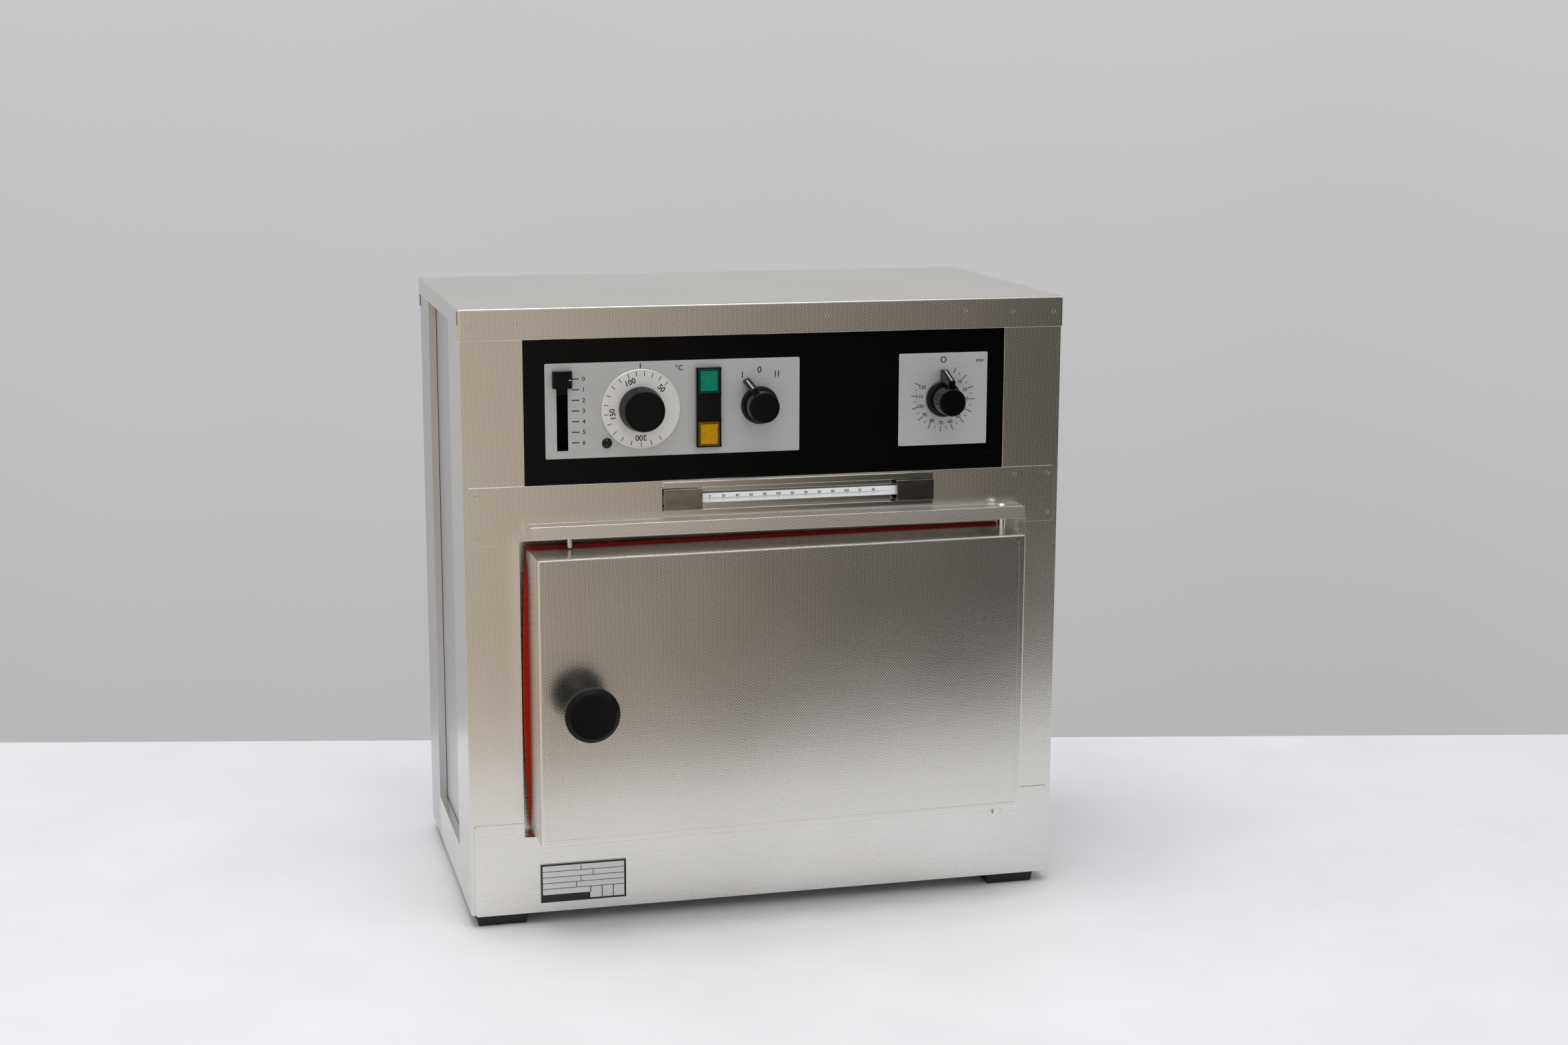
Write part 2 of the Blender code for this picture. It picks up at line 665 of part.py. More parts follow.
def side_panel(side, word):
    """A plain recessed sheet behind the returns of both posts."""
    near = BODY_HALF - SIDE_RECESS - GAP - SHEET
    edges = sorted((side * near, side * (near + SHEET)))
    front = FRONT_POST_DEPTH - SIDE_PANEL_MARGIN
    back = BODY_DEPTH - REAR_POST_DEPTH + SIDE_PANEL_MARGIN
    top = POST_TOP - SIDE_PANEL_TOP_GAP
    return box(word + "_side_panel", (edges[0], front, SHEET + GAP), (edges[1], back, top), BRUSHED)


def rail(name, bottom, height, window=()):
    """A front plate with round corners that lies over both posts."""
    middle = (0, bottom + height / 2)
    outline = rectangle(BODY_WIDTH - 2 * RAIL_INSET, height, RAIL_CORNER, middle)
    return front_plate(name, [outline, *window], -GAP, SHEET, EMBOSSED)


def opening_notch(name):
    return box(name, (OPENING_LEFT, RAIL_FACE - OVERRUN, OPENING_BOTTOM),
               (OPENING_RIGHT, OVERRUN, OPENING_TOP))


def opening_lining(name, bottom):
    """The fold that runs back from a rail's edge between the jambs."""
    return box(name, (OPENING_LEFT + GAP, RAIL_FACE, bottom),
               (OPENING_RIGHT - GAP, REVEAL_DEPTH, bottom + SHEET))


def base_rail():
    made = rail("base_rail", -BASE_RAIL_DROP, BASE_RAIL_HEIGHT)
    made.data.materials[0] = BRUSHED
    cut(made, opening_notch("base_rail_notch"))
    return join(made, opening_lining("base_rail_lining", OPENING_BOTTOM - SHEET))


def mid_rail():
    window = rectangle(HOLDER_LENGTH + 2 * GAP, TROUGH_HEIGHT + 2 * (SHEET + GAP), 0, TROUGH_CENTRE)
    made = rail("mid_rail", MID_RAIL_BOTTOM, MID_RAIL_HEIGHT, [window])
    cut(made, opening_notch("mid_rail_notch"))
    join(made, opening_lining("mid_rail_lining", OPENING_TOP))
    shelf = box("mid_rail_shelf", (-PANEL_HALF + GAP, RAIL_FACE, MID_RAIL_TOP - SHEET),
                (PANEL_HALF - GAP, MID_RAIL_SHELF, MID_RAIL_TOP))
    return join(made, shelf)


def top_cover():
    """A tray turned over the posts, with a deep front lip and shallow side lips."""
    reach = BODY_HALF + GAP + SHEET
    low = (-reach, RAIL_FACE, BODY_TOP - COVER_LIP_HEIGHT)
    back = BODY_DEPTH + GAP + SHEET
    made = tray("top_cover", low, (reach, back, BODY_TOP), (0, 0, -1), COVER_EDGE_RADIUS, EMBOSSED)
    for side, word in ((-1, "left"), (1, "right")):
        edges = sorted((side * (BODY_HALF - GAP), side * (reach + OVERRUN)))
        lip = box(word + "_lip_trim", (edges[0], COVER_CORNER_SLIT, low[2] - OVERRUN),
                  (edges[1], back - COVER_EDGE_RADIUS - SHEET, BODY_TOP - COVER_SIDE_LIP))
        slit = box(word + "_corner_slit", (edges[0], COVER_EDGE_RADIUS, low[2] - OVERRUN),
                   (edges[1], COVER_CORNER_SLIT + GAP, BODY_TOP - COVER_EDGE_RADIUS - SHEET))
        cut(made, lip, slit)
    return made


def rear_panel():
    half = BODY_HALF - REAR_FACE_WIDTH - GAP
    outlines = [rectangle(2 * half, POST_TOP, 0, (0, POST_TOP / 2)),
                circle(PIPE_RADIUS + HOLE_CLEARANCE, (PIPE_X, SLOT_Z), ROUND_STEPS),
                circle(GLAND_THREAD_RADIUS + HOLE_CLEARANCE, (GLAND_X, GLAND_Z))]
    for row in range(REAR_SLOTS):
        height = INSULATION_TOP + REAR_SLOT_RISE + row * REAR_SLOT_PITCH
        outlines.append(rectangle(REAR_SLOT_LENGTH, REAR_SLOT_WIDTH, 0, (CHAMBER_X, height)))
    return front_plate("rear_panel", outlines, BODY_DEPTH, SHEET, BRUSHED)


def bottom_plate():
    half = BODY_HALF - SIDE_RECESS - GAP
    return box("bottom_plate", (-half, LINER_FACE, 0), (half, BODY_DEPTH - SHEET - GAP, SHEET), ZINC)


def foot(name, left, front):
    """A block that narrows a little towards the bench."""
    low = Vector((left, front, -FOOT_HEIGHT))
    high = Vector((left + FOOT_WIDTH, front + FOOT_DEPTH, -GAP))
    mesh = box_mesh(name, high - low)
    for corner in mesh.vertices:
        if corner.co.z < 0:
            corner.co.x -= FOOT_TAPER if corner.co.x > 0 else -FOOT_TAPER
            corner.co.y -= FOOT_TAPER if corner.co.y > 0 else -FOOT_TAPER
    return place(name, mesh, (low + high) / 2, LEVEL, BLACK_RUBBER)


def casing():
    for side, word in ((-1, "left"), (1, "right")):
        front_post(side, word)
        rear_post(side, word)
        side_sill(side, word)
        side_panel(side, word)
    base_rail()
    mid_rail()
    top_cover()
    rear_panel()
    bottom_plate()
    left = -BODY_HALF + FOOT_SIDE_INSET
    right = BODY_HALF - RIGHT_FOOT_INSET - FOOT_WIDTH
    rear = BODY_DEPTH - FOOT_FRONT_INSET - FOOT_DEPTH
    for row, front in (("front", FOOT_FRONT_INSET), ("rear", rear)):
        foot(row + "_left_foot", left, front)
        foot(row + "_right_foot", right, front)


# The heated chamber


def chamber_liner():
    """An open box with a flange that lies behind the door opening."""
    made = box("chamber_liner", (-FLANGE_HALF, LINER_FACE, FLANGE_BOTTOM),
               (FLANGE_HALF, LINER_FACE + SHEET, FLANGE_TOP), BRUSHED)
    half = CHAMBER_WIDTH / 2
    join(made, box("liner_body", (CHAMBER_X - half - SHEET, LINER_FACE, CHAMBER_BOTTOM - SHEET),
                   (CHAMBER_X + half + SHEET, CHAMBER_BACK + SHEET, CHAMBER_TOP + SHEET)))
    cut(made, box("liner_hollow", (CHAMBER_X - half, LINER_FACE - OVERRUN, CHAMBER_BOTTOM),
                  (CHAMBER_X + half, CHAMBER_BACK, CHAMBER_TOP)))
    for side, word in ((-1, "left"), (1, "right")):
        wall_x = CHAMBER_X + side * CHAMBER_WIDTH / 2
        edges = sorted((wall_x + side * SHEET / 2, wall_x - side * SHELF_RAIL_WIDTH))
        join(made, box(word + "_shelf_rail", (edges[0], SHELF_FRONT, SHELF_SEAT - SHELF_RAIL_HEIGHT),
                       (edges[1], SHELF_BACK, SHELF_SEAT)))
    bottom = CHAMBER_TOP - OVERRUN
    cut(made, rod("liner_sensor_hole", SENSOR_RADIUS + HOLE_CLEARANCE, bottom, CHAMBER_TOP + OVERRUN,
                  (DIAL_X, SENSOR_Y, 0)))
    return cut(made, rod("liner_vent_hole", UPRIGHT_RADIUS - PIPE_WALL, bottom, CHAMBER_TOP + OVERRUN,
                         (PIPE_X, PIPE_Y, 0)))


def wire_shelf():
    """A flat grid that lies on the liner's two rails."""
    width = CHAMBER_WIDTH - 2 * SHELF_SIDE_GAP
    depth = SHELF_BACK - SHELF_FRONT
    middle = (CHAMBER_X, (SHELF_FRONT + SHELF_BACK) / 2)
    outlines = [rectangle(width, depth, SHELF_RIM / 2, middle)]
    pitch = (width - 2 * SHELF_RIM + SHELF_BAR) / SHELF_GAPS
    for index in range(SHELF_GAPS):
        x = CHAMBER_X - width / 2 + SHELF_RIM - SHELF_BAR / 2 + pitch * (index + 1 / 2)
        outlines.append(rectangle(pitch - SHELF_BAR, depth - 2 * SHELF_RIM, 0, (x, middle[1])))
    mesh = flat_mesh("wire_shelf", outlines, SHELF_BAR)
    return place("wire_shelf", mesh, (0, 0, SHELF_SEAT + GAP + SHELF_BAR / 2), LEVEL, POLISHED)


def chamber_insulation():
    """Wool that fills the casing round the liner, with room for the heater under its floor."""
    half = BODY_HALF - SIDE_RECESS - SHEET - 2 * GAP
    made = box("chamber_insulation", (-half, LINER_FACE + SHEET + GAP, SHEET + GAP),
               (half, BODY_DEPTH - SHEET - GAP, INSULATION_TOP), WOOL)
    side = CHAMBER_WIDTH / 2 + SHEET + GAP
    hollow = box("chamber_hollow", (CHAMBER_X - side, 0, CHAMBER_BOTTOM - SHEET - GAP - HEATER_ROOM),
                 (CHAMBER_X + side, CHAMBER_BACK + SHEET + GAP, CHAMBER_TOP + SHEET + GAP))
    top = INSULATION_TOP + OVERRUN
    sensor = rod("wool_sensor_hole", SENSOR_RADIUS + HOLE_CLEARANCE, CHAMBER_TOP, top,
                 (DIAL_X, SENSOR_Y, 0))
    vent = rod("wool_vent_hole", UPRIGHT_RADIUS + GAP, CHAMBER_TOP, top, (PIPE_X, PIPE_Y, 0),
               steps=ROUND_STEPS)
    return cut(made, hollow, sensor, vent)


def heating_element():
    """A sheathed element that runs to and fro under the chamber floor."""
    height = CHAMBER_BOTTOM - SHEET - GAP - HEATER_RADIUS
    reach = CHAMBER_WIDTH / 2 - HEATER_MARGIN
    first = LINER_FACE + HEATER_MARGIN
    pitch = (CHAMBER_DEPTH - 2 * HEATER_MARGIN) / (HEATER_RUNS - 1)
    route = []
    for run in range(HEATER_RUNS):
        side = 1 if run % 2 == 0 else -1
        y = first + run * pitch
        route.append((CHAMBER_X - side * reach, y))
        if run == HEATER_RUNS - 1:
            route.append((CHAMBER_X + side * reach, y))
            break
        for step in range(CORNER_STEPS * 2 + 1):
            turn = pi * step / (CORNER_STEPS * 2)
            x = CHAMBER_X + side * (reach + pitch / 2 * sin(turn))
            route.append((x, y + pitch / 2 - pitch / 2 * cos(turn)))
    drawing = bpy.data.curves.new("heating_element", "CURVE")
    drawing.dimensions = "3D"
    drawing.bevel_depth = HEATER_RADIUS
    drawing.bevel_resolution = 1
    drawing.use_fill_caps = True
    kept = [route[0]] + [b for a, b in zip(route, route[1:]) if (Vector(a) - Vector(b)).length > WELD]
    spline = drawing.splines.new("POLY")
    spline.points.add(len(kept) - 1)
    for point, (x, y) in zip(spline.points, kept):
        point.co = (x, y, 0, 1)
    mesh = mesh_of_curve("heating_element", drawing)
    mesh.shade_smooth()
    mesh.set_sharp_from_angle(angle=radians(60))
    return place("heating_element", mesh, (0, 0, height), LEVEL, HEATER_STEEL)


def sensor_probe():
    """The thermostat's bulb, which dips into the chamber below its capillary."""
    low = CHAMBER_TOP - SENSOR_REACH
    shoulder = low + SENSOR_LENGTH
    top = AXIS_Z - THERMOSTAT_HEIGHT / 2 - GAP
    profile = [(0, top), (CAPILLARY_RADIUS, top), (CAPILLARY_RADIUS, shoulder),
               (SENSOR_RADIUS, shoulder), (SENSOR_RADIUS, low), (0, low)]
    return turned("sensor_probe", profile, (DIAL_X, SENSOR_Y, 0), LEVEL, POLISHED, BODY, SMALL_STEPS)


def chamber():
    chamber_liner()
    wire_shelf()
    chamber_insulation()
    heating_element()
    sensor_probe()


# The control panel


def stem_hole(x, z, radius=STEM_RADIUS):
    return circle(radius + HOLE_CLEARANCE, (x, z))


def lamp_window():
    width, height = LAMP_WIDTH - 2 * LAMP_RIM, LAMP_HEIGHT - 2 * LAMP_RIM
    return rectangle(width + 2 * GAP, height + 2 * GAP, 0, (LAMP_X, LAMP_Z))


def control_holes():
    """The slider's slot, the lamp window and the stems of the dial, cap and switch."""
    return [rectangle(SLOT_WIDTH, SLOT_HEIGHT, 0, (SLOT_X, SLOT_Z)), lamp_window(),
            stem_hole(DIAL_X, AXIS_Z), stem_hole(SWITCH_X, AXIS_Z),
            stem_hole(ADJUSTER_X, ADJUSTER_Z, ADJUSTER_STEM_RADIUS)]


def control_panel():
    height = PANEL_TOP + PANEL_OVERLAP - PANEL_BOTTOM
    outline = rectangle(2 * (PANEL_HALF + PANEL_OVERLAP), height, 0, (0, PANEL_BOTTOM + height / 2))
    holes = control_holes() + [stem_hole(TIMER_X, AXIS_Z)]
    return front_plate("control_panel", [outline] + holes, PANEL_BACK, PANEL_THICKNESS, PANEL_BLACK)


def printed_plate(name, left, width, holes):
    middle = (left + width / 2, PLATE_BOTTOM + PLATE_HEIGHT / 2)
    outline = rectangle(width, PLATE_HEIGHT, PLATE_CORNER, middle)
    return front_plate(name, [outline] + holes, PANEL_FACE - GAP, PLATE_THICKNESS, SCALE_SILVER)


def control_body(name, x, width, height, depth):
    """A moulded case behind the panel, bored for the stem of its knob."""
    made = box(name, (x - width / 2, BEHIND_PANEL, AXIS_Z - height / 2),
               (x + width / 2, BEHIND_PANEL + depth, AXIS_Z + height / 2), CASE_GREY)
    bore = rod(name + "_bore", STEM_RADIUS + HOLE_CLEARANCE, -STEM_REACH - OVERRUN, OVERRUN,
               (x, BEHIND_PANEL, AXIS_Z), FACING_FRONT)
    return cut(made, bore)


def temperature_dial():
    spot = (DIAL_X, CONTROL_FRONT, AXIS_Z)
    ring("dial_disc", DIAL_RADIUS, STEM_RADIUS + HOLE_CLEARANCE, 0, DIAL_THICKNESS, spot,
         FACING_FRONT, DIAL_SILVER)
    base = CONTROL_FRONT - DIAL_THICKNESS - GAP
    tip = base - BEHIND_PANEL - STEM_REACH
    profile = [(0, DIAL_KNOB_HEIGHT), (DIAL_KNOB_RADIUS - 2 * DIAL_KNOB_TAPER, DIAL_KNOB_HEIGHT),
               (DIAL_KNOB_RADIUS - DIAL_KNOB_TAPER, DIAL_KNOB_HEIGHT - DIAL_KNOB_TAPER),
               (DIAL_KNOB_RADIUS, 0), (STEM_RADIUS, 0), (STEM_RADIUS, tip), (0, tip)]
    turned("dial_knob", profile, (DIAL_X, base, AXIS_Z), FACING_FRONT, BAKELITE)
    control_body("thermostat_body", DIAL_X, THERMOSTAT_WIDTH, THERMOSTAT_HEIGHT, THERMOSTAT_DEPTH)


def pointer_knob(name, x, base_radius, drum_radius, height, pointing):
    """A skirted drum with a fin on its side that slopes back to a pointer over the scale."""
    tip = CONTROL_FRONT - BEHIND_PANEL - STEM_REACH
    profile = [(0, height), (drum_radius - KNOB_FACE_EDGE, height), (drum_radius, height - KNOB_FACE_EDGE),
               (drum_radius, SKIRT_TOP), (base_radius, SKIRT_HEIGHT), (base_radius, 0),
               (STEM_RADIUS, 0), (STEM_RADIUS, tip), (0, tip)]
    spot, turn = (x, CONTROL_FRONT, AXIS_Z), (pi / 2, pointing, 0)
    made = turned(name, profile, spot, turn, BAKELITE)
    front = height - FIN_SET_BACK
    outline = [(FIN_ROOT, GAP), (FIN_REACH, GAP), (FIN_REACH, FIN_TIP_HEIGHT),
               (drum_radius + FIN_FRONT_REACH, front), (FIN_ROOT, front)]
    fin = flat_mesh(name + "_fin", [outline], FIN_WIDTH)
    fin.transform(Matrix(((0, 0, 1, 0), (1, 0, 0, 0), (0, 1, 0, 0), (0, 0, 0, 1))))
    return join(made, place(name + "_fin", fin, spot, turn))


def rotary_switch():
    pointer_knob("switch_knob", SWITCH_X, SWITCH_BASE_RADIUS, SWITCH_DRUM_RADIUS, SWITCH_HEIGHT,
                 SWITCH_REST)
    control_body("switch_body", SWITCH_X, SWITCH_BODY_WIDTH, SWITCH_BODY_WIDTH, SWITCH_BODY_DEPTH)


def timer():
    pointer_knob("timer_knob", TIMER_X, TIMER_BASE_RADIUS, TIMER_DRUM_RADIUS, TIMER_HEIGHT, 0)
    control_body("timer_body", TIMER_X, TIMER_BODY_WIDTH, TIMER_BODY_WIDTH, TIMER_BODY_DEPTH)


def adjuster():
    """A slotted cap on a thin stem, and the bush that holds it behind the panel."""
    spot = (ADJUSTER_X, CONTROL_FRONT, ADJUSTER_Z)
    tip = CONTROL_FRONT - BEHIND_PANEL - ADJUSTER_STEM_REACH
    profile = [(0, ADJUSTER_HEIGHT), (ADJUSTER_RADIUS, ADJUSTER_HEIGHT), (ADJUSTER_RADIUS, 0),
               (ADJUSTER_STEM_RADIUS, 0), (ADJUSTER_STEM_RADIUS, tip), (0, tip)]
    made = turned("adjuster_cap", profile, spot, FACING_FRONT, BAKELITE, BODY, SMALL_STEPS)
    slot = local_box("adjuster_slot", (-ADJUSTER_RADIUS - OVERRUN, -ADJUSTER_SLOT / 2, ADJUSTER_HEIGHT / 2),
                     (ADJUSTER_RADIUS + OVERRUN, ADJUSTER_SLOT / 2, ADJUSTER_HEIGHT + OVERRUN),
                     spot, FACING_FRONT)
    cut(made, slot)
    ring("adjuster_bush", ADJUSTER_BODY_RADIUS, ADJUSTER_STEM_RADIUS + HOLE_CLEARANCE,
         -ADJUSTER_BODY_DEPTH, 0, (ADJUSTER_X, BEHIND_PANEL, ADJUSTER_Z), FACING_FRONT, CASE_GREY)


def lamp_cell(index):
    """The middle height of one of the three cells, counted from the bottom."""
    return LAMP_Z + (index - 1) * LAMP_HEIGHT / 3


def lamps():
    """A three-cell housing: a green lens above a blank cell above a yellow lens."""
    half, top = LAMP_WIDTH / 2, LAMP_HEIGHT / 2
    face = CONTROL_FRONT - LAMP_PROUD
    housing = box("lamp_housing", (LAMP_X - half, face, LAMP_Z - top),
                  (LAMP_X + half, CONTROL_FRONT, LAMP_Z + top), BAKELITE)
    inner = box("lamp_housing_case", (LAMP_X - half + LAMP_RIM, face + LENS_SEAT, LAMP_Z - top + LAMP_RIM),
                (LAMP_X + half - LAMP_RIM, BEHIND_PANEL + LAMP_BODY_DEPTH, LAMP_Z + top - LAMP_RIM))
    join(housing, inner)
    cell_half = LAMP_HEIGHT / 6 - LAMP_RIM / 2
    for index, name, finish in ((2, "green_lens", GREEN_LENS), (0, "yellow_lens", YELLOW_LENS)):
        z = lamp_cell(index)
        cut(housing, box(name + "_seat", (LAMP_X - half + LAMP_RIM, face - OVERRUN, z - cell_half),
                         (LAMP_X + half - LAMP_RIM, face + LENS_SEAT, z + cell_half)))
        lens = box(name, (LAMP_X - half + LAMP_RIM + GAP, face - LENS_PROUD, z - cell_half + GAP),
                   (LAMP_X + half - LAMP_RIM - GAP, face + LENS_SEAT - GAP, z + cell_half - GAP), finish)
        edge = lens.modifiers.new("facets", "BEVEL")
        edge.width = LENS_FACET
        edge.segments = 1


def vent_slider():
    """The knob, and the carriage and rod that take its stroke to the flap at the back."""
    bottom, top = VENT_REST_Z - VENT_KNOB_HEIGHT / 2, VENT_REST_Z + VENT_KNOB_HEIGHT / 2
    face = CONTROL_FRONT - VENT_KNOB_PROUD
    foot_edge = CONTROL_FRONT - VENT_KNOB_PROUD / 3
    outline = [(SLOT_X - VENT_KNOB_WIDTH / 2, CONTROL_FRONT), (SLOT_X + VENT_KNOB_WIDTH / 2, CONTROL_FRONT),
               (SLOT_X + VENT_KNOB_WIDTH / 2, foot_edge), (SLOT_X + VENT_KNOB_FACE / 2, face),
               (SLOT_X - VENT_KNOB_FACE / 2, face), (SLOT_X - VENT_KNOB_WIDTH / 2, foot_edge)]
    post("vent_knob", outline, bottom, top, BAKELITE)
    carriage_back = BEHIND_PANEL + VENT_CARRIAGE_THICKNESS
    bar = box("vent_slide_bar",
              (SLOT_X - VENT_CARRIAGE_WIDTH / 2, BEHIND_PANEL, VENT_REST_Z - VENT_CARRIAGE_HEIGHT / 2),
              (SLOT_X + VENT_CARRIAGE_WIDTH / 2, carriage_back, VENT_REST_Z + VENT_CARRIAGE_HEIGHT / 2),
              ZINC)
    stem = box("vent_stem", (SLOT_X - VENT_STEM_WIDTH / 2, PLATE_FACE, VENT_REST_Z - VENT_STEM_HEIGHT / 2),
               (SLOT_X + VENT_STEM_WIDTH / 2, carriage_back - GAP, VENT_REST_Z + VENT_STEM_HEIGHT / 2))
    push_rod = rod("vent_push_rod", VENT_ROD_RADIUS, -ROD_END_Y - 2 * VENT_ROD_RADIUS,
                   -BEHIND_PANEL - GAP, (SLOT_X, 0, VENT_REST_Z), FACING_FRONT)
    pin = rod("vent_crank_pin", VENT_PIN_RADIUS, 0, VENT_PIN_LENGTH, (SLOT_X, ROD_END_Y, VENT_REST_Z),
              (0, pi / 2, 0))
    return join(bar, stem, push_rod, pin)


def vent_flap():
    """A butterfly disc on a shaft, with a forked lever that the rod's pin swings."""
    spot = (PIPE_X, FLAP_Y, SLOT_Z)
    lever_left = LEVER_X - LEVER_SHEET / 2 - PIPE_X
    shaft_end = PIPE_RADIUS + 2 * FLAP_SHAFT_RADIUS
    made = rod("vent_flap", FLAP_SHAFT_RADIUS, lever_left, shaft_end, spot, (0, pi / 2, 0), ZINC)
    disc = rod("vent_disc", PIPE_BORE - FLAP_CLEARANCE, -FLAP_THICKNESS / 2, FLAP_THICKNESS / 2,
               spot, FACING_FRONT, steps=ROUND_STEPS)
    reach = VENT_TRAVEL / 2 * sqrt(2) + LEVER_TIP
    raised = (-pi / 4, 0, 0)
    arm = local_box("vent_lever", (lever_left, -reach, -LEVER_WIDTH / 2),
                    (lever_left + LEVER_SHEET, LEVER_WIDTH / 2, LEVER_WIDTH / 2), spot, raised)
    join(made, disc, arm)
    slot_start = VENT_TRAVEL / 2 - LEVER_TIP
    slot = local_box("vent_lever_slot", (lever_left - OVERRUN, -reach - OVERRUN, -LEVER_SLOT / 2),
                     (lever_left + LEVER_SHEET + OVERRUN, -slot_start, LEVER_SLOT / 2), spot, raised)
    return cut(made, slot)


def exhaust_pipe():
    """An upright stub from the chamber's roof into a level pipe, holed for the flap's shaft."""
    low = CHAMBER_TOP + SHEET + GAP
    upright, level = (PIPE_X, PIPE_Y, 0), (PIPE_X, 0, SLOT_Z)
    front = PIPE_Y - PIPE_RADIUS
    made = rod("exhaust_pipe", PIPE_RADIUS, -PIPE_END, -front, level, FACING_FRONT, POLISHED,
               steps=ROUND_STEPS)
    join(made, rod("pipe_upright", UPRIGHT_RADIUS, low, SLOT_Z, upright, steps=ROUND_STEPS))
    cut(made, rod("pipe_upright_bore", UPRIGHT_RADIUS - PIPE_WALL, low - OVERRUN,
                  SLOT_Z - PIPE_BORE / 3, upright, OFF_SEAM, steps=ROUND_STEPS))
    cut(made, rod("pipe_level_bore", PIPE_BORE, -PIPE_END - OVERRUN, -front - PIPE_WALL, level,
                  FACING_FRONT, steps=ROUND_STEPS))
    hole = FLAP_SHAFT_RADIUS + HOLE_CLEARANCE
    reach = PIPE_RADIUS + OVERRUN
    return cut(made, rod("pipe_shaft_holes", hole, -reach, reach, (PIPE_X, FLAP_Y, SLOT_Z), (0, pi / 2, 0)))


def cable_gland():
    """A bored inlet bush, nutted on both sides of the rear panel."""
    inner_back = SHEET + 2 * GAP
    profile = [(GLAND_RADIUS, GLAND_OUTREACH), (GLAND_NUT_RADIUS, GLAND_NUT_HEIGHT), (GLAND_NUT_RADIUS, 0),
               (GLAND_THREAD_RADIUS, 0), (GLAND_THREAD_RADIUS, -inner_back),
               (GLAND_NUT_RADIUS, -inner_back), (GLAND_NUT_RADIUS, -inner_back - GLAND_NUT_HEIGHT),
               (GLAND_BORE_RADIUS, -inner_back - GLAND_NUT_HEIGHT), (GLAND_BORE_RADIUS, GLAND_OUTREACH)]
    mesh = turned_mesh("cable_gland", profile, SMALL_STEPS, True)
    return place("cable_gland", mesh, (GLAND_X, BODY_DEPTH + GAP, GLAND_Z), (-pi / 2, 0, 0), BLACK_RUBBER)


def control_gear():
    control_panel()
    printed_plate("control_plate", CONTROL_LEFT, CONTROL_PLATE_WIDTH, control_holes())
    printed_plate("timer_plate", TIMER_PLATE_RIGHT - TIMER_PLATE_WIDTH, TIMER_PLATE_WIDTH,
                  [stem_hole(TIMER_X, AXIS_Z)])
    temperature_dial()
    rotary_switch()
    timer()
    adjuster()
    lamps()
    vent_slider()
    vent_flap()
    exhaust_pipe()
    cable_gland()


# The thermometer and the ledge on the middle rail


def thermometer():
    """A glass stem in a polished trough, held by a bridge at each end."""
    flange_face = RAIL_FACE - GAP - SHEET
    trough_back = flange_face + TROUGH_DEPTH
    low, high = TROUGH_BOTTOM, TROUGH_BOTTOM + TROUGH_HEIGHT
    bottom, top = low - HOLDER_FLANGE, high + HOLDER_FLANGE
    path = [(flange_face, bottom), (flange_face, low), (trough_back, low),
            (trough_back, high), (flange_face, high), (flange_face, top)]
    channel("thermometer_holder", sheet_outline(path, -SHEET), HOLDER_LEFT, HOLDER_RIGHT, POLISHED)
    middle = low + TROUGH_HEIGHT / 2
    glass_y = trough_back - GAP - GLASS_RADIUS
    rod("thermometer_glass", GLASS_RADIUS, GAP, HOLDER_LENGTH - GAP, (HOLDER_LEFT, glass_y, middle),
        (0, pi / 2, 0), GLASS, steps=ROUND_STEPS)
    face = glass_y - GLASS_RADIUS - GAP - SHEET
    leg = face + CLIP_LEG
    for word, left in (("left", HOLDER_LEFT), ("right", HOLDER_RIGHT - CLIP_LENGTH)):
        path = [(leg, low + GAP), (face, low + GAP), (face, high - GAP), (leg, high - GAP)]
        channel(word + "_clip", sheet_outline(path, -SHEET), left, left + CLIP_LENGTH, POLISHED)


def ledge_rail():
    """A channel over the door, open below, that holds the hinge screw and the catch."""
    back = RAIL_FACE - GAP
    path = [(back, LEDGE_BOTTOM), (back, LEDGE_TOP), (LEDGE_FRONT, LEDGE_TOP), (LEDGE_FRONT, LEDGE_BOTTOM)]
    made = channel("ledge_rail", sheet_outline(path, SHEET), LEDGE_LEFT, LEDGE_RIGHT, EMBOSSED)
    hole = rod("ledge_screw_hole", HINGE_NECK_RADIUS + HOLE_CLEARANCE, LEDGE_TOP - OVERRUN,
               LEDGE_TOP + OVERRUN, (HINGE.x, HINGE.y, 0))
    return cut(made, hole)


def hinge_screw():
    """The upper hinge: a head on the ledge, a barrel in it and a pin into the door."""
    head = LEDGE_TOP + GAP
    barrel = LEDGE_TOP - SHEET - GAP
    tip = DOOR_TOP - HINGE_PIN_ENGAGEMENT
    profile = [(0, head + HINGE_HEAD_HEIGHT), (HINGE_HEAD_RADIUS * 3 / 4, head + HINGE_HEAD_HEIGHT),
               (HINGE_HEAD_RADIUS, head + HINGE_HEAD_HEIGHT / 2), (HINGE_HEAD_RADIUS, head),
               (HINGE_NECK_RADIUS, head), (HINGE_NECK_RADIUS, barrel), (HINGE_BARREL_RADIUS, barrel),
               (HINGE_BARREL_RADIUS, LEDGE_BOTTOM), (HINGE_PIN_RADIUS, LEDGE_BOTTOM),
               (HINGE_PIN_RADIUS, tip), (0, tip)]
    return turned("hinge_screw", profile, (HINGE.x, HINGE.y, 0), LEVEL, POLISHED, BODY, SMALL_STEPS)


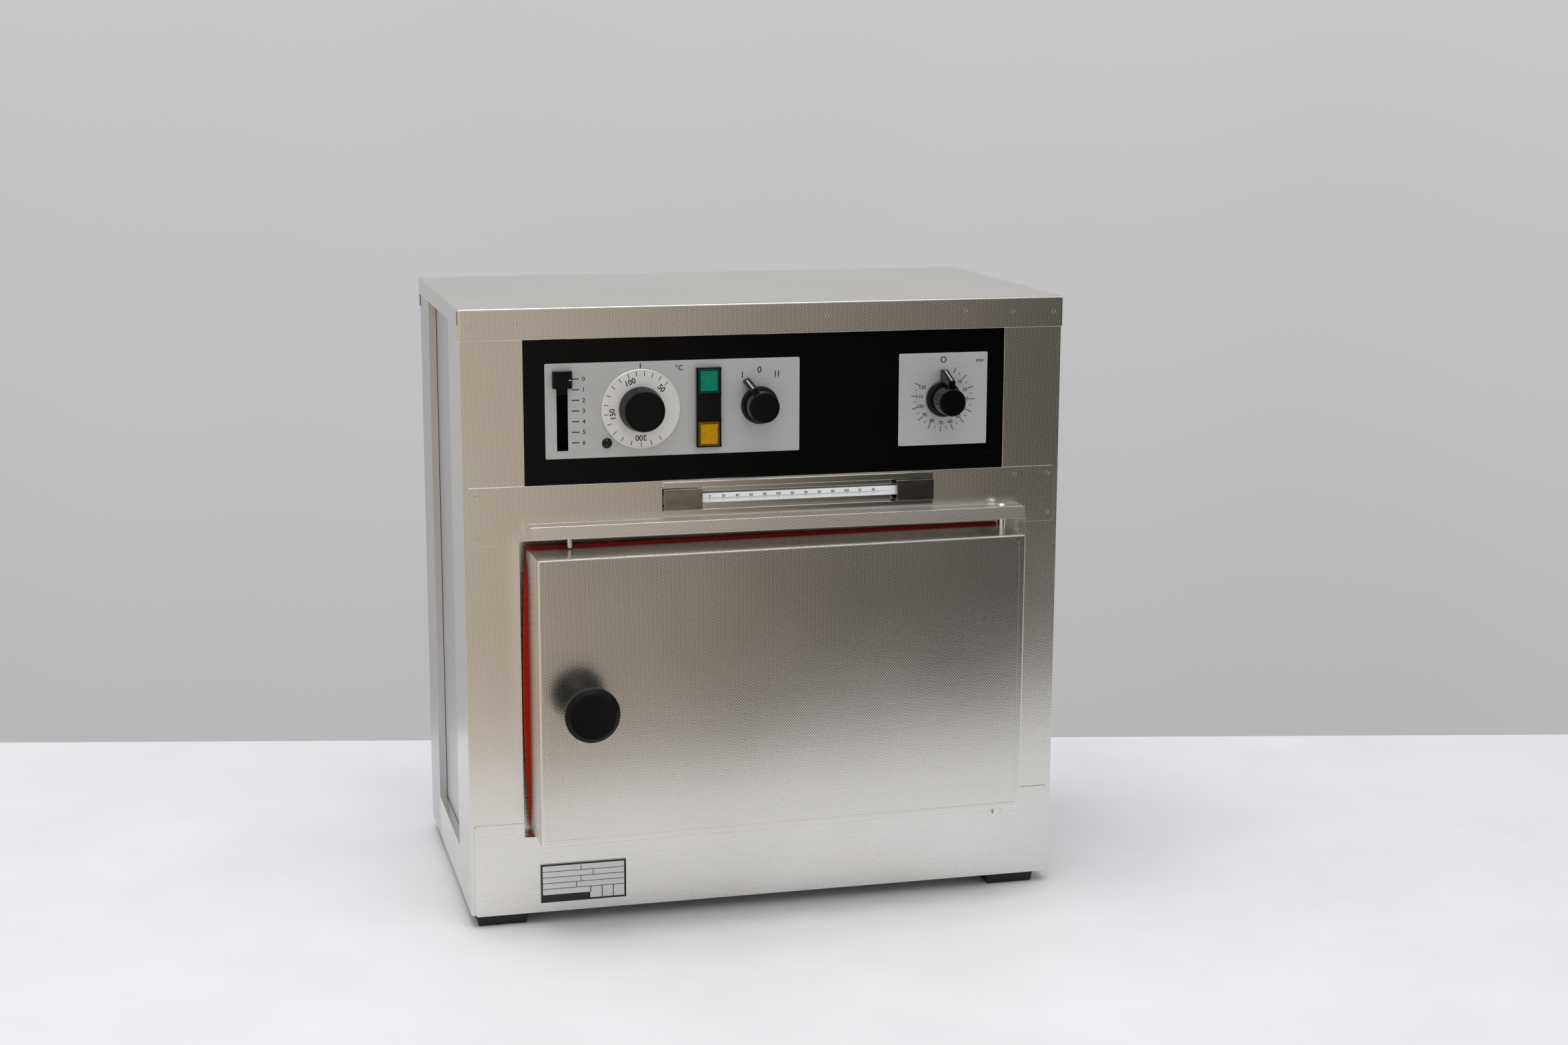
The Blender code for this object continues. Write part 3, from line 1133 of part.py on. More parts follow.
def catch():
    """A sprung pin over the door's free corner, and the guide it slides in."""
    spot = (LEDGE_LEFT + CATCH_INSET, -CATCH_FORWARD, 0)
    low = DOOR_TOP + CATCH_PIN_SHOW
    rod("catch_pin", CATCH_PIN_RADIUS, low, low + CATCH_PIN_LENGTH, spot, LEVEL, POLISHED)
    ring("catch_guide", CATCH_GUIDE_RADIUS, CATCH_PIN_RADIUS + GAP, LEDGE_BOTTOM, LEDGE_TOP - SHEET - GAP,
         spot, LEVEL, ZINC)


def lower_hinge():
    """A bracket on the base rail whose pin carries the door on a collar."""
    back = RAIL_FACE - GAP
    top = DOOR_BOTTOM - BRACKET_DOOR_GAP
    path = [(back, top - BRACKET_LEG), (back, top), (back - BRACKET_REACH, top)]
    bracket = channel("lower_hinge_bracket", sheet_outline(path, BRACKET_SHEET),
                      HINGE.x - BRACKET_WIDTH / 2, HINGE.x + BRACKET_WIDTH / 2, ZINC)
    spot = (HINGE.x, HINGE.y, 0)
    cut(bracket, rod("bracket_hole", HINGE_NECK_RADIUS + HOLE_CLEARANCE, top - BRACKET_SHEET - OVERRUN,
                     top + OVERRUN, spot))
    tip, head = DOOR_BOTTOM + HINGE_PIN_ENGAGEMENT, top - BRACKET_SHEET - GAP
    profile = [(0, tip), (HINGE_PIN_RADIUS, tip), (HINGE_PIN_RADIUS, DOOR_BOTTOM - GAP),
               (LOWER_COLLAR_RADIUS, DOOR_BOTTOM - GAP), (LOWER_COLLAR_RADIUS, top + GAP),
               (HINGE_NECK_RADIUS, top + GAP), (HINGE_NECK_RADIUS, head), (LOWER_HEAD_RADIUS, head),
               (LOWER_HEAD_RADIUS, head - LOWER_HEAD_HEIGHT), (0, head - LOWER_HEAD_HEIGHT)]
    turned("lower_hinge_pin", profile, spot, LEVEL, ZINC, BODY, SMALL_STEPS)


def data_plate():
    """A blank label on the base rail."""
    middle = (-BODY_HALF + DATA_PLATE_INSET + DATA_PLATE_WIDTH / 2,
              -BASE_RAIL_DROP + DATA_PLATE_RISE + DATA_PLATE_HEIGHT / 2)
    outline = rectangle(DATA_PLATE_WIDTH, DATA_PLATE_HEIGHT, 0, middle)
    return front_plate("data_plate", [outline], RAIL_FACE - GAP, DATA_PLATE_THICKNESS, ANODISED)


def front_fittings():
    thermometer()
    ledge_rail()
    hinge_screw()
    catch()
    lower_hinge()
    data_plate()


# The door, drawn shut and carried ajar by its axis


def door_shell():
    made = tray("door_shell", (DOOR_LEFT, DOOR_FACE, DOOR_BOTTOM), (DOOR_RIGHT, DOOR_ENTRY, DOOR_TOP),
                (0, 1, 0), DOOR_EDGE_RADIUS, EMBOSSED, DOOR)
    radius = HINGE_PIN_RADIUS + HOLE_CLEARANCE / 2
    for word, z in (("lower", DOOR_BOTTOM), ("upper", DOOR_TOP)):
        cut(made, rod(word + "_pin_hole", radius, z - OVERRUN, z + OVERRUN, (HINGE.x, HINGE.y, 0),
                      carrier=DOOR))
    return cut(made, rod("knob_screw_hole", KNOB_SCREW_RADIUS + HOLE_CLEARANCE, -OVERRUN, OVERRUN,
                         (KNOB_X, DOOR_FACE, KNOB_Z), FACING_FRONT, carrier=DOOR))


def door_inner_panel():
    inset = SHEET + GAP
    width, height = DOOR_RIGHT - DOOR_LEFT - 2 * inset, DOOR_TOP - DOOR_BOTTOM - 2 * inset
    middle = ((DOOR_LEFT + DOOR_RIGHT) / 2, (DOOR_BOTTOM + DOOR_TOP) / 2)
    mesh = flat_mesh("door_inner_panel", [rectangle(width, height, DOOR_EDGE_RADIUS, middle)], SHEET)
    return place("door_inner_panel", mesh, (0, DOOR_ENTRY - SHEET / 2, 0), FACING_FRONT, BRUSHED, DOOR)


def door_insulation():
    """Wool that fills the door, cleared for both hinge pins and the knob's screw."""
    inset = max(DOOR_EDGE_RADIUS, SHEET + GAP)
    made = box("door_insulation", (DOOR_LEFT + inset, DOOR_FACE + SHEET + GAP, DOOR_BOTTOM + inset),
               (DOOR_RIGHT - inset, DOOR_ENTRY - SHEET - GAP, DOOR_TOP - inset), WOOL, DOOR)
    half = PIN_POCKET / 2
    deep = HINGE_PIN_ENGAGEMENT + HOLE_CLEARANCE
    for word, low, high in (("lower", DOOR_BOTTOM, DOOR_BOTTOM + deep), ("upper", DOOR_TOP - deep, DOOR_TOP)):
        cut(made, box(word + "_pin_pocket", (HINGE.x - half, HINGE.y - half, low),
                      (HINGE.x + half, HINGE.y + half, high), None, DOOR))
    pocket = KNOB_SCREW_HEAD + HOLE_CLEARANCE
    floor = -SHEET - KNOB_SCREW_HEAD_HEIGHT - 3 * GAP
    return cut(made, rod("screw_head_pocket", pocket, floor, OVERRUN, (KNOB_X, DOOR_FACE, KNOB_Z),
                         FACING_FRONT, carrier=DOOR))


def door_gasket():
    """A frame of rubber on the door's back; its lip shows past the free edge, top and bottom."""
    left, right = DOOR_LEFT - GASKET_SIDE_FLARE, DOOR_RIGHT - GASKET_HINGE_INSET
    bottom, top = DOOR_BOTTOM - GASKET_END_FLARE, DOOR_TOP + GASKET_END_FLARE
    middle = ((left + right) / 2, (bottom + top) / 2)
    outer = rectangle(right - left, top - bottom, GASKET_WIDTH / 2, middle)
    inner = rectangle(right - left - 2 * GASKET_WIDTH, top - bottom - 2 * GASKET_WIDTH, 0, middle)
    front, back = DOOR_ENTRY + GAP, LINER_FACE - GAP
    mesh = flat_mesh("door_gasket", [outer, inner], back - front)
    return place("door_gasket", mesh, (0, (front + back) / 2, 0), FACING_FRONT, RED_RUBBER, DOOR)


def door_knob():
    """A turned pull with a flat face, a round shoulder and a bell that narrows to its neck."""
    bore = KNOB_SCREW_RADIUS + HOLE_CLEARANCE
    shoulder = DOOR_KNOB_HEIGHT - DOOR_KNOB_SHOULDER
    profile = [(0, DOOR_KNOB_HEIGHT)]
    for step in range(CORNER_STEPS + 1):
        turn = pi / 2 * step / CORNER_STEPS
        radius = DOOR_KNOB_FACE_RADIUS + (DOOR_KNOB_RADIUS - DOOR_KNOB_FACE_RADIUS) * sin(turn)
        profile.append((radius, shoulder + DOOR_KNOB_SHOULDER * cos(turn)))
    rim, neck = shoulder - DOOR_KNOB_RIM, shoulder * NECK_SHARE
    for step in range(CORNER_STEPS * 2 + 1):
        turn = pi / 2 * step / (CORNER_STEPS * 2)
        radius = DOOR_KNOB_RADIUS - (DOOR_KNOB_RADIUS - DOOR_KNOB_NECK_RADIUS) * sin(turn)
        profile.append((radius, neck + (rim - neck) * cos(turn)))
    profile += [(DOOR_KNOB_NECK_RADIUS, 0), (bore, 0), (bore, KNOB_SCREW_REACH), (0, KNOB_SCREW_REACH)]
    turned("door_knob", profile, (KNOB_X, DOOR_FACE - GAP, KNOB_Z), FACING_FRONT, BAKELITE, DOOR)


def knob_screw():
    """The screw that holds the pull from inside the door."""
    tip = KNOB_SCREW_REACH - GAP
    profile = [(0, tip), (KNOB_SCREW_RADIUS, tip), (KNOB_SCREW_RADIUS, 0), (KNOB_SCREW_HEAD, 0),
               (KNOB_SCREW_HEAD, -KNOB_SCREW_HEAD_HEIGHT), (0, -KNOB_SCREW_HEAD_HEIGHT)]
    spot = (KNOB_X, DOOR_FACE + SHEET + GAP, KNOB_Z)
    turned("knob_screw", profile, spot, FACING_FRONT, ZINC, DOOR, SMALL_STEPS)


def door():
    door_shell()
    door_inner_panel()
    door_insulation()
    door_gasket()
    door_knob()
    knob_screw()


casing()
chamber()
control_gear()
front_fittings()
door()
bpy.context.view_layer.update()
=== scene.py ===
# %% [markdown]
# # A small laboratory drying oven
# The real oven is folded stainless sheet round an insulated chamber, with a side-hinged door.
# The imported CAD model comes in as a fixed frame. Every piece here is placed by its measures.

# %% Load the frame and keep its box
import math

import bmesh
import bpy
from mathutils import Matrix, Vector


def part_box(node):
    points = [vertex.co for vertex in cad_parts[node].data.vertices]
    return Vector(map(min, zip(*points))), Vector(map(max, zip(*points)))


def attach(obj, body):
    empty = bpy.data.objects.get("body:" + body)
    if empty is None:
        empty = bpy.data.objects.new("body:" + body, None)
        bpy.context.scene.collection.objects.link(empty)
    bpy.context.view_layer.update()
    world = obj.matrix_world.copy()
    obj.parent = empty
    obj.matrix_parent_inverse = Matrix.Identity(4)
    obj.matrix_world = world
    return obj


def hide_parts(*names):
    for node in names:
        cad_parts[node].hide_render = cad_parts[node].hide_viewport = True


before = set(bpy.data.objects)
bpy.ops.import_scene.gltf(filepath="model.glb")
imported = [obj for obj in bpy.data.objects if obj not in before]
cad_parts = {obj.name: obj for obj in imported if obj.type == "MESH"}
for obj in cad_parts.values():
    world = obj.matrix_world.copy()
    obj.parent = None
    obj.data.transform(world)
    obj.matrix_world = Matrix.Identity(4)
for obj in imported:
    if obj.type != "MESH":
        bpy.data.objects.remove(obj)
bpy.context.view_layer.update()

# %% [markdown]
# ## Measures in millimetres
# The oven was measured from its front face and its underside. The frame has its own origin,
# so one function turns those millimetres into the frame's metres, and one reads a node back.

# %% Millimetres to the frame
MM = 0.001
FRONT_FACE = 99.25
UNDERSIDE = 10.0


def at(x, y, z):
    return Vector((x, y - FRONT_FACE, z + UNDERSIDE)) * MM


def box_of(node):
    low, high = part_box(node)
    shift = Vector((0.0, FRONT_FACE, -UNDERSIDE))
    return low / MM + shift, high / MM + shift


print("control plate", box_of("control_plate"))

# %% [markdown]
# ## The camera
# The photograph looks down a little from the left with a longish lens. Its place and lens were
# worked out from the straight edges of the case, so the render has the same perspective.

# %% Place the camera
CAMERA_TURN = math.radians(14.412)
CAMERA_TILT = math.radians(10.887)
CAMERA_ROLL = math.radians(0.177)
ahead = Vector((
    math.sin(CAMERA_TURN) * math.cos(CAMERA_TILT),
    math.cos(CAMERA_TURN) * math.cos(CAMERA_TILT),
    -math.sin(CAMERA_TILT),
))
across = ahead.cross(Vector((0.0, 0.0, 1.0))).normalized()
upward = across.cross(ahead)
rolled_across = across * math.cos(CAMERA_ROLL) + upward * math.sin(CAMERA_ROLL)
rolled_upward = upward * math.cos(CAMERA_ROLL) - across * math.sin(CAMERA_ROLL)
camera_data = bpy.data.cameras.new("camera")
camera_data.sensor_width = 36.0
camera_data.lens = 56.40
camera = bpy.data.objects.new("camera", camera_data)
bpy.context.scene.collection.objects.link(camera)
turn = Matrix((rolled_across, rolled_upward, -ahead)).transposed().to_4x4()
camera.matrix_world = Matrix.Translation(at(-449.4, -1794.7, 652.8)) @ turn
bpy.context.scene.camera = camera
bpy.context.scene.view_settings.view_transform = "Standard"
print("camera at", tuple(round(c, 3) for c in camera.location))

# %% [markdown]
# ## Colours and nodes
# Colours are written as the sRGB hex values that a picture shows, and the shader works on
# linear light. One function turns one into the other, and one adds any node with its settings.

# %% Colour and node helpers


def rgb(code):
    parts = [int(code[i:i + 2], 16) / 255.0 for i in (0, 2, 4)]
    linear = [p / 12.92 if p <= 0.04045 else ((p + 0.055) / 1.055) ** 2.4 for p in parts]
    return (*linear, 1.0)


def add_node(tree, kind, links=(), values=(), **settings):
    node = tree.nodes.new(kind)
    for key, value in settings.items():
        setattr(node, key, value)
    for socket, value in dict(values).items():
        node.inputs[socket].default_value = value
    for socket, source in dict(links).items():
        tree.links.new(source, node.inputs[socket])
    return node


def new_material(name, colour, metallic, roughness):
    material = bpy.data.materials.new(name)
    material.use_nodes = True
    shader = material.node_tree.nodes["Principled BSDF"]
    shader.inputs["Base Color"].default_value = rgb(colour)
    shader.inputs["Metallic"].default_value = metallic
    shader.inputs["Roughness"].default_value = roughness
    material.diffuse_color = rgb(colour)
    return material, material.node_tree, shader


# %% [markdown]
# ## Grain and bumps
# Most finishes differ by a fine relief and by how evenly they shine. The relief goes in
# metres to the bump node, so a 0.03 mm dot is written as 0.03 mm.

# %% Relief and shine


def object_point(tree):
    return add_node(tree, "ShaderNodeTexCoord").outputs["Object"]


def noise(tree, point, per_metre, stretch=(1.0, 1.0, 1.0), detail=3.0):
    mapping = add_node(tree, "ShaderNodeMapping", {"Vector": point}, {"Scale": stretch})
    texture = add_node(
        tree, "ShaderNodeTexNoise", {"Vector": mapping.outputs["Vector"]},
        {"Scale": per_metre, "Detail": detail, "Roughness": 0.55},
    )
    return texture.outputs["Fac"]


def spread(tree, factor, low, high):
    ramp = add_node(
        tree, "ShaderNodeMapRange", {"Value": factor},
        {"From Min": 0.2, "From Max": 0.8, "To Min": low, "To Max": high},
    )
    return ramp.outputs["Result"]


def relief(tree, shader, height, depth_mm, under=None):
    links = {"Height": height}
    if under is not None:
        links["Normal"] = under
    bump = add_node(tree, "ShaderNodeBump", links, {"Strength": 1.0, "Distance": depth_mm * MM})
    tree.links.new(bump.outputs["Normal"], shader.inputs["Normal"])
    return bump.outputs["Normal"]


def tint(tree, shader, factor, dark, light):
    mix = add_node(tree, "ShaderNodeMix", {"Factor": factor}, data_type="RGBA")
    for socket in mix.inputs:
        if socket.type == "RGBA":
            socket.default_value = rgb(dark) if socket.name == "A" else rgb(light)
    colour = [s for s in mix.outputs if s.type == "RGBA"][0]
    tree.links.new(colour, shader.inputs["Base Color"])


# %% [markdown]
# ## Stainless sheet
# The front is stainless sheet rolled with rows of small raised dots, 2.2 mm apart along a row
# and half a step over from row to row. The dots are two crossed cosine waves, of which the
# tops are kept. Adding the depth to both directions carries the pattern round a fold.

# %% Embossed and brushed stainless
DOT_STEP = 2.2
ROW_STEP = 1.2
TURN_IN_METRES = 2.0 * math.pi / MM


def embossed_dots(tree, point):
    parts = add_node(tree, "ShaderNodeSeparateXYZ", {"Vector": point})
    along = add_node(tree, "ShaderNodeMath", {0: parts.outputs["X"], 1: parts.outputs["Y"]})
    rising = add_node(tree, "ShaderNodeMath", {0: parts.outputs["Z"], 1: parts.outputs["Y"]})
    waves = []
    for source, step in ((along, DOT_STEP), (rising, 2.0 * ROW_STEP)):
        angle = add_node(
            tree, "ShaderNodeMath", {0: source.outputs["Value"]}, {1: TURN_IN_METRES / step},
            operation="MULTIPLY",
        )
        waves.append(add_node(
            tree, "ShaderNodeMath", {0: angle.outputs["Value"]}, operation="COSINE",
        ))
    product = add_node(
        tree, "ShaderNodeMath", {0: waves[0].outputs["Value"], 1: waves[1].outputs["Value"]},
        operation="MULTIPLY",
    )
    tops = add_node(
        tree, "ShaderNodeMath", {0: product.outputs["Value"]}, {1: 0.0}, operation="MAXIMUM",
    )
    return tops.outputs["Value"]


# 1.4301 sheet, embossed: dots blur the reflection, the flats between them still mirror.
embossed_stainless, tree, shader = new_material("embossed_stainless", "DEDBD6", 1.0, 0.22)
point = object_point(tree)
handling = noise(tree, point, 7.0, detail=1.0)
tint(tree, shader, spread(tree, handling, 0.0, 1.0), "DAD7D1", "E3E1DD")
tree.links.new(spread(tree, handling, 0.2, 0.24), shader.inputs["Roughness"])
relief(tree, shader, embossed_dots(tree, point), 0.034)

# The same sheet without dots, brushed along its length: a streaky satin shine.
brushed_stainless, tree, shader = new_material("brushed_stainless", "E0DEDA", 1.0, 0.26)
point = object_point(tree)
streaks = noise(tree, point, 400.0, (0.05, 0.05, 3.0))
tint(tree, shader, spread(tree, noise(tree, point, 9.0, detail=1.0), 0.0, 1.0), "DCDAD6", "E6E4E1")
tree.links.new(spread(tree, streaks, 0.2, 0.34), shader.inputs["Roughness"])
relief(tree, shader, streaks, 0.006)
print("stainless finishes", embossed_stainless.name, brushed_stainless.name)

# %% [markdown]
# ## Side sheets, trim and inner metals
# The side sheets are rolled cold and left dull, the holder and screws are polished, and what
# sits behind the front is zinc plated. Their shine is matched to how wide a highlight is.

# %% Other metals
satin_stainless, tree, shader = new_material("satin_stainless", "CECED0", 1.0, 0.34)
point = object_point(tree)
grain = noise(tree, point, 300.0, (1.0, 0.08, 1.0))
tree.links.new(spread(tree, grain, 0.3, 0.4), shader.inputs["Roughness"])
relief(tree, shader, grain, 0.005)

polished_stainless, tree, shader = new_material("polished_stainless", "DAD8D4", 1.0, 0.08)
point = object_point(tree)
wipe = noise(tree, point, 60.0, (0.2, 1.0, 1.0))
tree.links.new(spread(tree, wipe, 0.05, 0.13), shader.inputs["Roughness"])
relief(tree, shader, wipe, 0.004)

# The clips' darker base colour and their mottle are a painted reflection of a dark room.
clip_steel_painted_reflection, tree, shader = new_material("spring_clip_steel", "96948C", 1.0, 0.12)
point = object_point(tree)
waves = noise(tree, point, 45.0, (1.0, 1.0, 2.5))
# Painted reflection: a mottle between a dark and a light grey of the same steel.
tint(tree, shader, spread(tree, waves, 0.0, 1.0), "76746C", "A8A69E")
relief(tree, shader, waves, 0.06)

zinc_plate, tree, shader = new_material("zinc_plate", "BDBDB8", 1.0, 0.4)
point = object_point(tree)
spangle = add_node(
    tree, "ShaderNodeTexVoronoi", {"Vector": point}, {"Scale": 160.0, "Randomness": 1.0},
).outputs["Distance"]
tint(tree, shader, spangle, "B4B4AE", "C6C6C2")
relief(tree, shader, spangle, 0.003)

dark_steel, tree, shader = new_material("heat_darkened_steel", "6E6258", 1.0, 0.45)
point = object_point(tree)
scale_marks = noise(tree, point, 90.0)
tint(tree, shader, spread(tree, scale_marks, 0.0, 1.0), "5A4E46", "837568")
relief(tree, shader, scale_marks, 0.02)
print("trim metals", polished_stainless.name, zinc_plate.name, dark_steel.name)

# %% [markdown]
# ## Enamel, plates and moulded parts
# The control field is black gloss enamel. On it lie silver satin plates, finely brushed, and
# the knobs are black phenolic with the soft shine of a moulded surface.

# %% Enamel, anodised plates and plastics
black_enamel, tree, shader = new_material("black_gloss_enamel", "040405", 0.0, 0.12)
shader.inputs["Specular IOR Level"].default_value = 0.12
point = object_point(tree)
orange_peel = noise(tree, point, 220.0)
relief(tree, shader, orange_peel, 0.006)
dust = noise(tree, point, 900.0, detail=1.0)
tree.links.new(spread(tree, noise(tree, point, 40.0), 0.09, 0.17), shader.inputs["Roughness"])
speck = add_node(
    tree, "ShaderNodeMapRange", {"Value": dust}, {"From Min": 0.78, "From Max": 0.84},
).outputs["Result"]
tint(tree, shader, speck, "050506", "3A3A3C")


def satin_aluminium(name, dark, light, roughness):
    material, tree, shader = new_material(name, light, 0.35, roughness)
    point = object_point(tree)
    brush = noise(tree, point, 1200.0, (0.04, 1.0, 1.0))
    tint(tree, shader, spread(tree, brush, 0.0, 1.0), dark, light)
    relief(tree, shader, brush, 0.004)
    return material


plate_silver = satin_aluminium("anodised_plate_silver", "B7B7B6", "C1C1C0", 0.42)
disc_silver = satin_aluminium("anodised_disc_silver", "E0E0DE", "E8E8E6", 0.36)
label_silver = satin_aluminium("anodised_label_silver", "D2D3D2", "DCDDDC", 0.4)


def moulded(name, dark, light, roughness, grain_mm, depth_mm, shine=0.5):
    material, tree, shader = new_material(name, dark, 0.0, roughness)
    shader.inputs["Specular IOR Level"].default_value = shine
    point = object_point(tree)
    grain = noise(tree, point, 1.0 / (grain_mm * MM))
    tint(tree, shader, spread(tree, grain, 0.0, 1.0), dark, light)
    tree.links.new(
        spread(tree, grain, roughness * 0.85, roughness * 1.15), shader.inputs["Roughness"],
    )
    relief(tree, shader, grain, depth_mm)
    return material


phenolic_gloss = moulded("black_phenolic_gloss", "050506", "09090A", 0.13, 3.0, 0.008, 0.22)
phenolic_matt = moulded("black_phenolic_matt", "050506", "0A0A0B", 0.32, 0.5, 0.008, 0.16)
case_plastic = moulded("grey_moulded_case", "3C3C3F", "46464A", 0.45, 0.8, 0.02)
foot_rubber = moulded("black_foot_rubber", "0D0D0D", "181817", 0.6, 0.7, 0.03)
silicone_red = moulded("red_silicone_rubber", "921B08", "A0230E", 0.5, 1.2, 0.02, 0.08)
wool_board = moulded("pressed_mineral_wool", "8E8255", "A89B6C", 0.95, 0.6, 0.25)
print("mouldings", phenolic_gloss.name, phenolic_matt.name, silicone_red.name)

# %% [markdown]
# ## Inks and lenses
# The print on the plates is a thin matt ink. The lamps have coloured clear lenses with a field
# of small pyramids.

# %% Inks and lenses
print_black = moulded("matt_black_ink", "141414", "1A1A1A", 0.5, 0.3, 0.002)
print_white = moulded("matt_white_ink", "D8D8D4", "E2E2DE", 0.5, 0.3, 0.002)
strip_white = moulded("opal_scale_strip", "E4E6E6", "EEF0F0", 0.35, 1.0, 0.002)
# This grey is the fins' inlay, and on the adjuster cap painted shade for its slot.
inlay_grey_and_slot_shade = moulded("dark_grey_inlay", "222224", "2B2B2D", 0.5, 0.5, 0.004, 0.3)


def acrylic_lens(name, deep, bright):
    material, tree, shader = new_material(name, bright, 0.0, 0.2)
    shader.inputs["Specular IOR Level"].default_value = 0.12
    point = object_point(tree)
    swirl = noise(tree, point, 260.0)
    tint(tree, shader, spread(tree, swirl, 0.0, 1.0), deep, bright)
    relief(tree, shader, swirl, 0.008)
    shader.inputs["IOR"].default_value = 1.49
    return material


lens_green = acrylic_lens("green_acrylic_lens", "006A52", "008A6A")
# The frame copies are the lens acrylic made much darker: painted shade of the smooth frame.
lens_green_frame_painted_shade = acrylic_lens("green_acrylic_frame", "012E25", "024236")
lens_yellow = acrylic_lens("yellow_acrylic_lens", "A87C00", "C89800")
lens_yellow_frame_painted_shade = acrylic_lens("yellow_acrylic_frame", "4A3302", "6B4C03")

print("lenses", lens_green.name, lens_yellow.name)

# %% [markdown]
# ## Turning a shape into a piece
# Every piece ends the same way: its millimetres become metres in the frame, its normals point
# outwards, its sharp edges are rounded a little where a width is given, and it is told what it
# rides on.

# %% From a shape to a piece
AJAR = math.radians(1.75)
HINGE = at(184.0, -12.0, 0.0)
HUNG = Matrix.Translation(HINGE) @ Matrix.Rotation(AJAR, 4, "Z") @ Matrix.Translation(-HINGE)
SMOOTH_BELOW = math.radians(32.0)


def round_edges(work, width, steps):
    sharp = [
        e for e in work.edges
        if len(e.link_faces) == 2 and e.calc_face_angle(0.0) > SMOOTH_BELOW
    ]
    if sharp and width > 0.0:
        bmesh.ops.bevel(
            work, geom=sharp, offset=width, segments=steps, profile=0.5,
            affect="EDGES", clamp_overlap=True,
        )


def keep_flats_flat(mesh):
    carrier = bpy.data.objects.new("carrier", mesh)
    bpy.context.scene.collection.objects.link(carrier)
    weighting = carrier.modifiers.new("face_weight", "WEIGHTED_NORMAL")
    weighting.keep_sharp = True
    weighting.weight = 100
    depsgraph = bpy.context.evaluated_depsgraph_get()
    flat_mesh = bpy.data.meshes.new_from_object(carrier.evaluated_get(depsgraph))
    flat_mesh.name = mesh.name
    bpy.data.objects.remove(carrier)
    return flat_mesh


def link_piece(name, mesh, material, body, stands_for=()):
    mesh.polygons.foreach_set("use_smooth", [True] * len(mesh.polygons))
    mesh.set_sharp_from_angle(angle=SMOOTH_BELOW)
    mesh = keep_flats_flat(mesh)
    if material is not None:
        mesh.materials.clear()
        mesh.materials.append(material)
    piece = bpy.data.objects.new(name, mesh)
    bpy.context.scene.collection.objects.link(piece)
    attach(piece, body)
    if stands_for:
        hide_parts(*stands_for)
    return piece


def piece_from(name, work, material, body, stands_for=(), edge=0.0, steps=2,
               hung=False):
    bmesh.ops.remove_doubles(work, verts=work.verts, dist=0.0005)
    bmesh.ops.recalc_face_normals(work, faces=work.faces)
    round_edges(work, edge, steps)
    for vert in work.verts:
        vert.co = at(*vert.co)
    if hung:
        bmesh.ops.transform(work, matrix=HUNG, verts=work.verts)
    mesh = bpy.data.meshes.new(name)
    work.to_mesh(mesh)
    work.free()
    print(name, len(mesh.polygons), "faces on", body)
    return link_piece(name, mesh, material, body, stands_for)


# %% [markdown]
# ## Folded sheet
# A brake press leaves a small outside radius and a deburred edge, and that is where sheet metal
# catches the light. Each folded part is a merged copy of its CAD solid whose flat triangles
# are joined again and whose edges are rounded by a few tenths of a millimetre.

# %% Folded sheet from the CAD solids
FLAT_WITHIN = math.radians(0.3)


def folded(node, material, body, edge=0.3, steps=3):
    work = bmesh.new()
    work.from_mesh(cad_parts[node].data)
    bmesh.ops.remove_doubles(work, verts=work.verts, dist=1e-6)
    bmesh.ops.dissolve_limit(
        work, angle_limit=FLAT_WITHIN, verts=work.verts, edges=work.edges,
    )
    bmesh.ops.recalc_face_normals(work, faces=work.faces)
    round_edges(work, edge * MM, steps)
    mesh = bpy.data.meshes.new(node + "_formed")
    work.to_mesh(mesh)
    work.free()
    print(node, len(mesh.polygons), "faces")
    return link_piece(node + "_formed", mesh, material, body, (node,))


for node, edge in (
    ("top_cover", 0.3), ("left_front_post", 0.3), ("right_front_post", 0.3),
    ("mid_rail", 0.6),
):
    folded(node, embossed_stainless, "casing", edge)
folded("door_shell", embossed_stainless, "door", 0.35)
for node in ("base_rail", "left_side_sill", "right_side_sill", "bottom_plate"):
    folded(node, brushed_stainless, "casing", 0.3)
for node in (
    "left_rear_post", "right_rear_post", "left_side_panel", "right_side_panel", "rear_panel",
):
    folded(node, satin_stainless, "casing", 0.25)

# %% [markdown]
# ## Hidden and inner parts
# The chamber, its insulation and the bodies behind the front show when the door is open or
# from behind. They keep their CAD shape with rounded edges and get their own finish.

# %% Chamber, bodies and feet
for node, material, finish, edge in (
    ("chamber_liner", brushed_stainless, "brushed_steel", 0.3),
    ("thermostat_body", case_plastic, "case_grey", 0.4),
    ("switch_body", case_plastic, "case_grey", 0.4),
    ("timer_body", case_plastic, "case_grey", 0.4),
    ("catch_guide", zinc_plate, "zinc_steel", 0.2),
    ("lower_hinge_bracket", zinc_plate, "zinc_steel", 0.3),
    ("front_left_foot", foot_rubber, "black_rubber", 0.8),
    ("front_right_foot", foot_rubber, "black_rubber", 0.8),
    ("rear_left_foot", foot_rubber, "black_rubber", 0.8),
    ("rear_right_foot", foot_rubber, "black_rubber", 0.8),
    ("cable_gland", foot_rubber, "black_rubber", 0.3),
    ("exhaust_pipe", polished_stainless, "polished_steel", 0.2),
):
    folded(node, material, "casing", edge)
folded("door_inner_panel", brushed_stainless, "door", 0.3)
folded("vent_slide_bar", phenolic_matt, "vent_slider", 0.2)
folded("vent_flap", polished_stainless, "flap", 0.15)
folded("control_panel", black_enamel, "casing", 0.3)
folded("control_plate", plate_silver, "casing", 0.2)
folded("timer_plate", plate_silver, "casing", 0.2)


def refinish(nodes, material):
    for node in nodes:
        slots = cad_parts[node].data.materials
        slots.clear()
        slots.append(material)


refinish(("chamber_insulation", "door_insulation"), wool_board)
refinish(("heating_element",), dark_steel)
refinish(("sensor_probe", "lower_hinge_pin", "knob_screw"), polished_stainless)
refinish(("adjuster_bush",), phenolic_matt)
print("inner parts done")

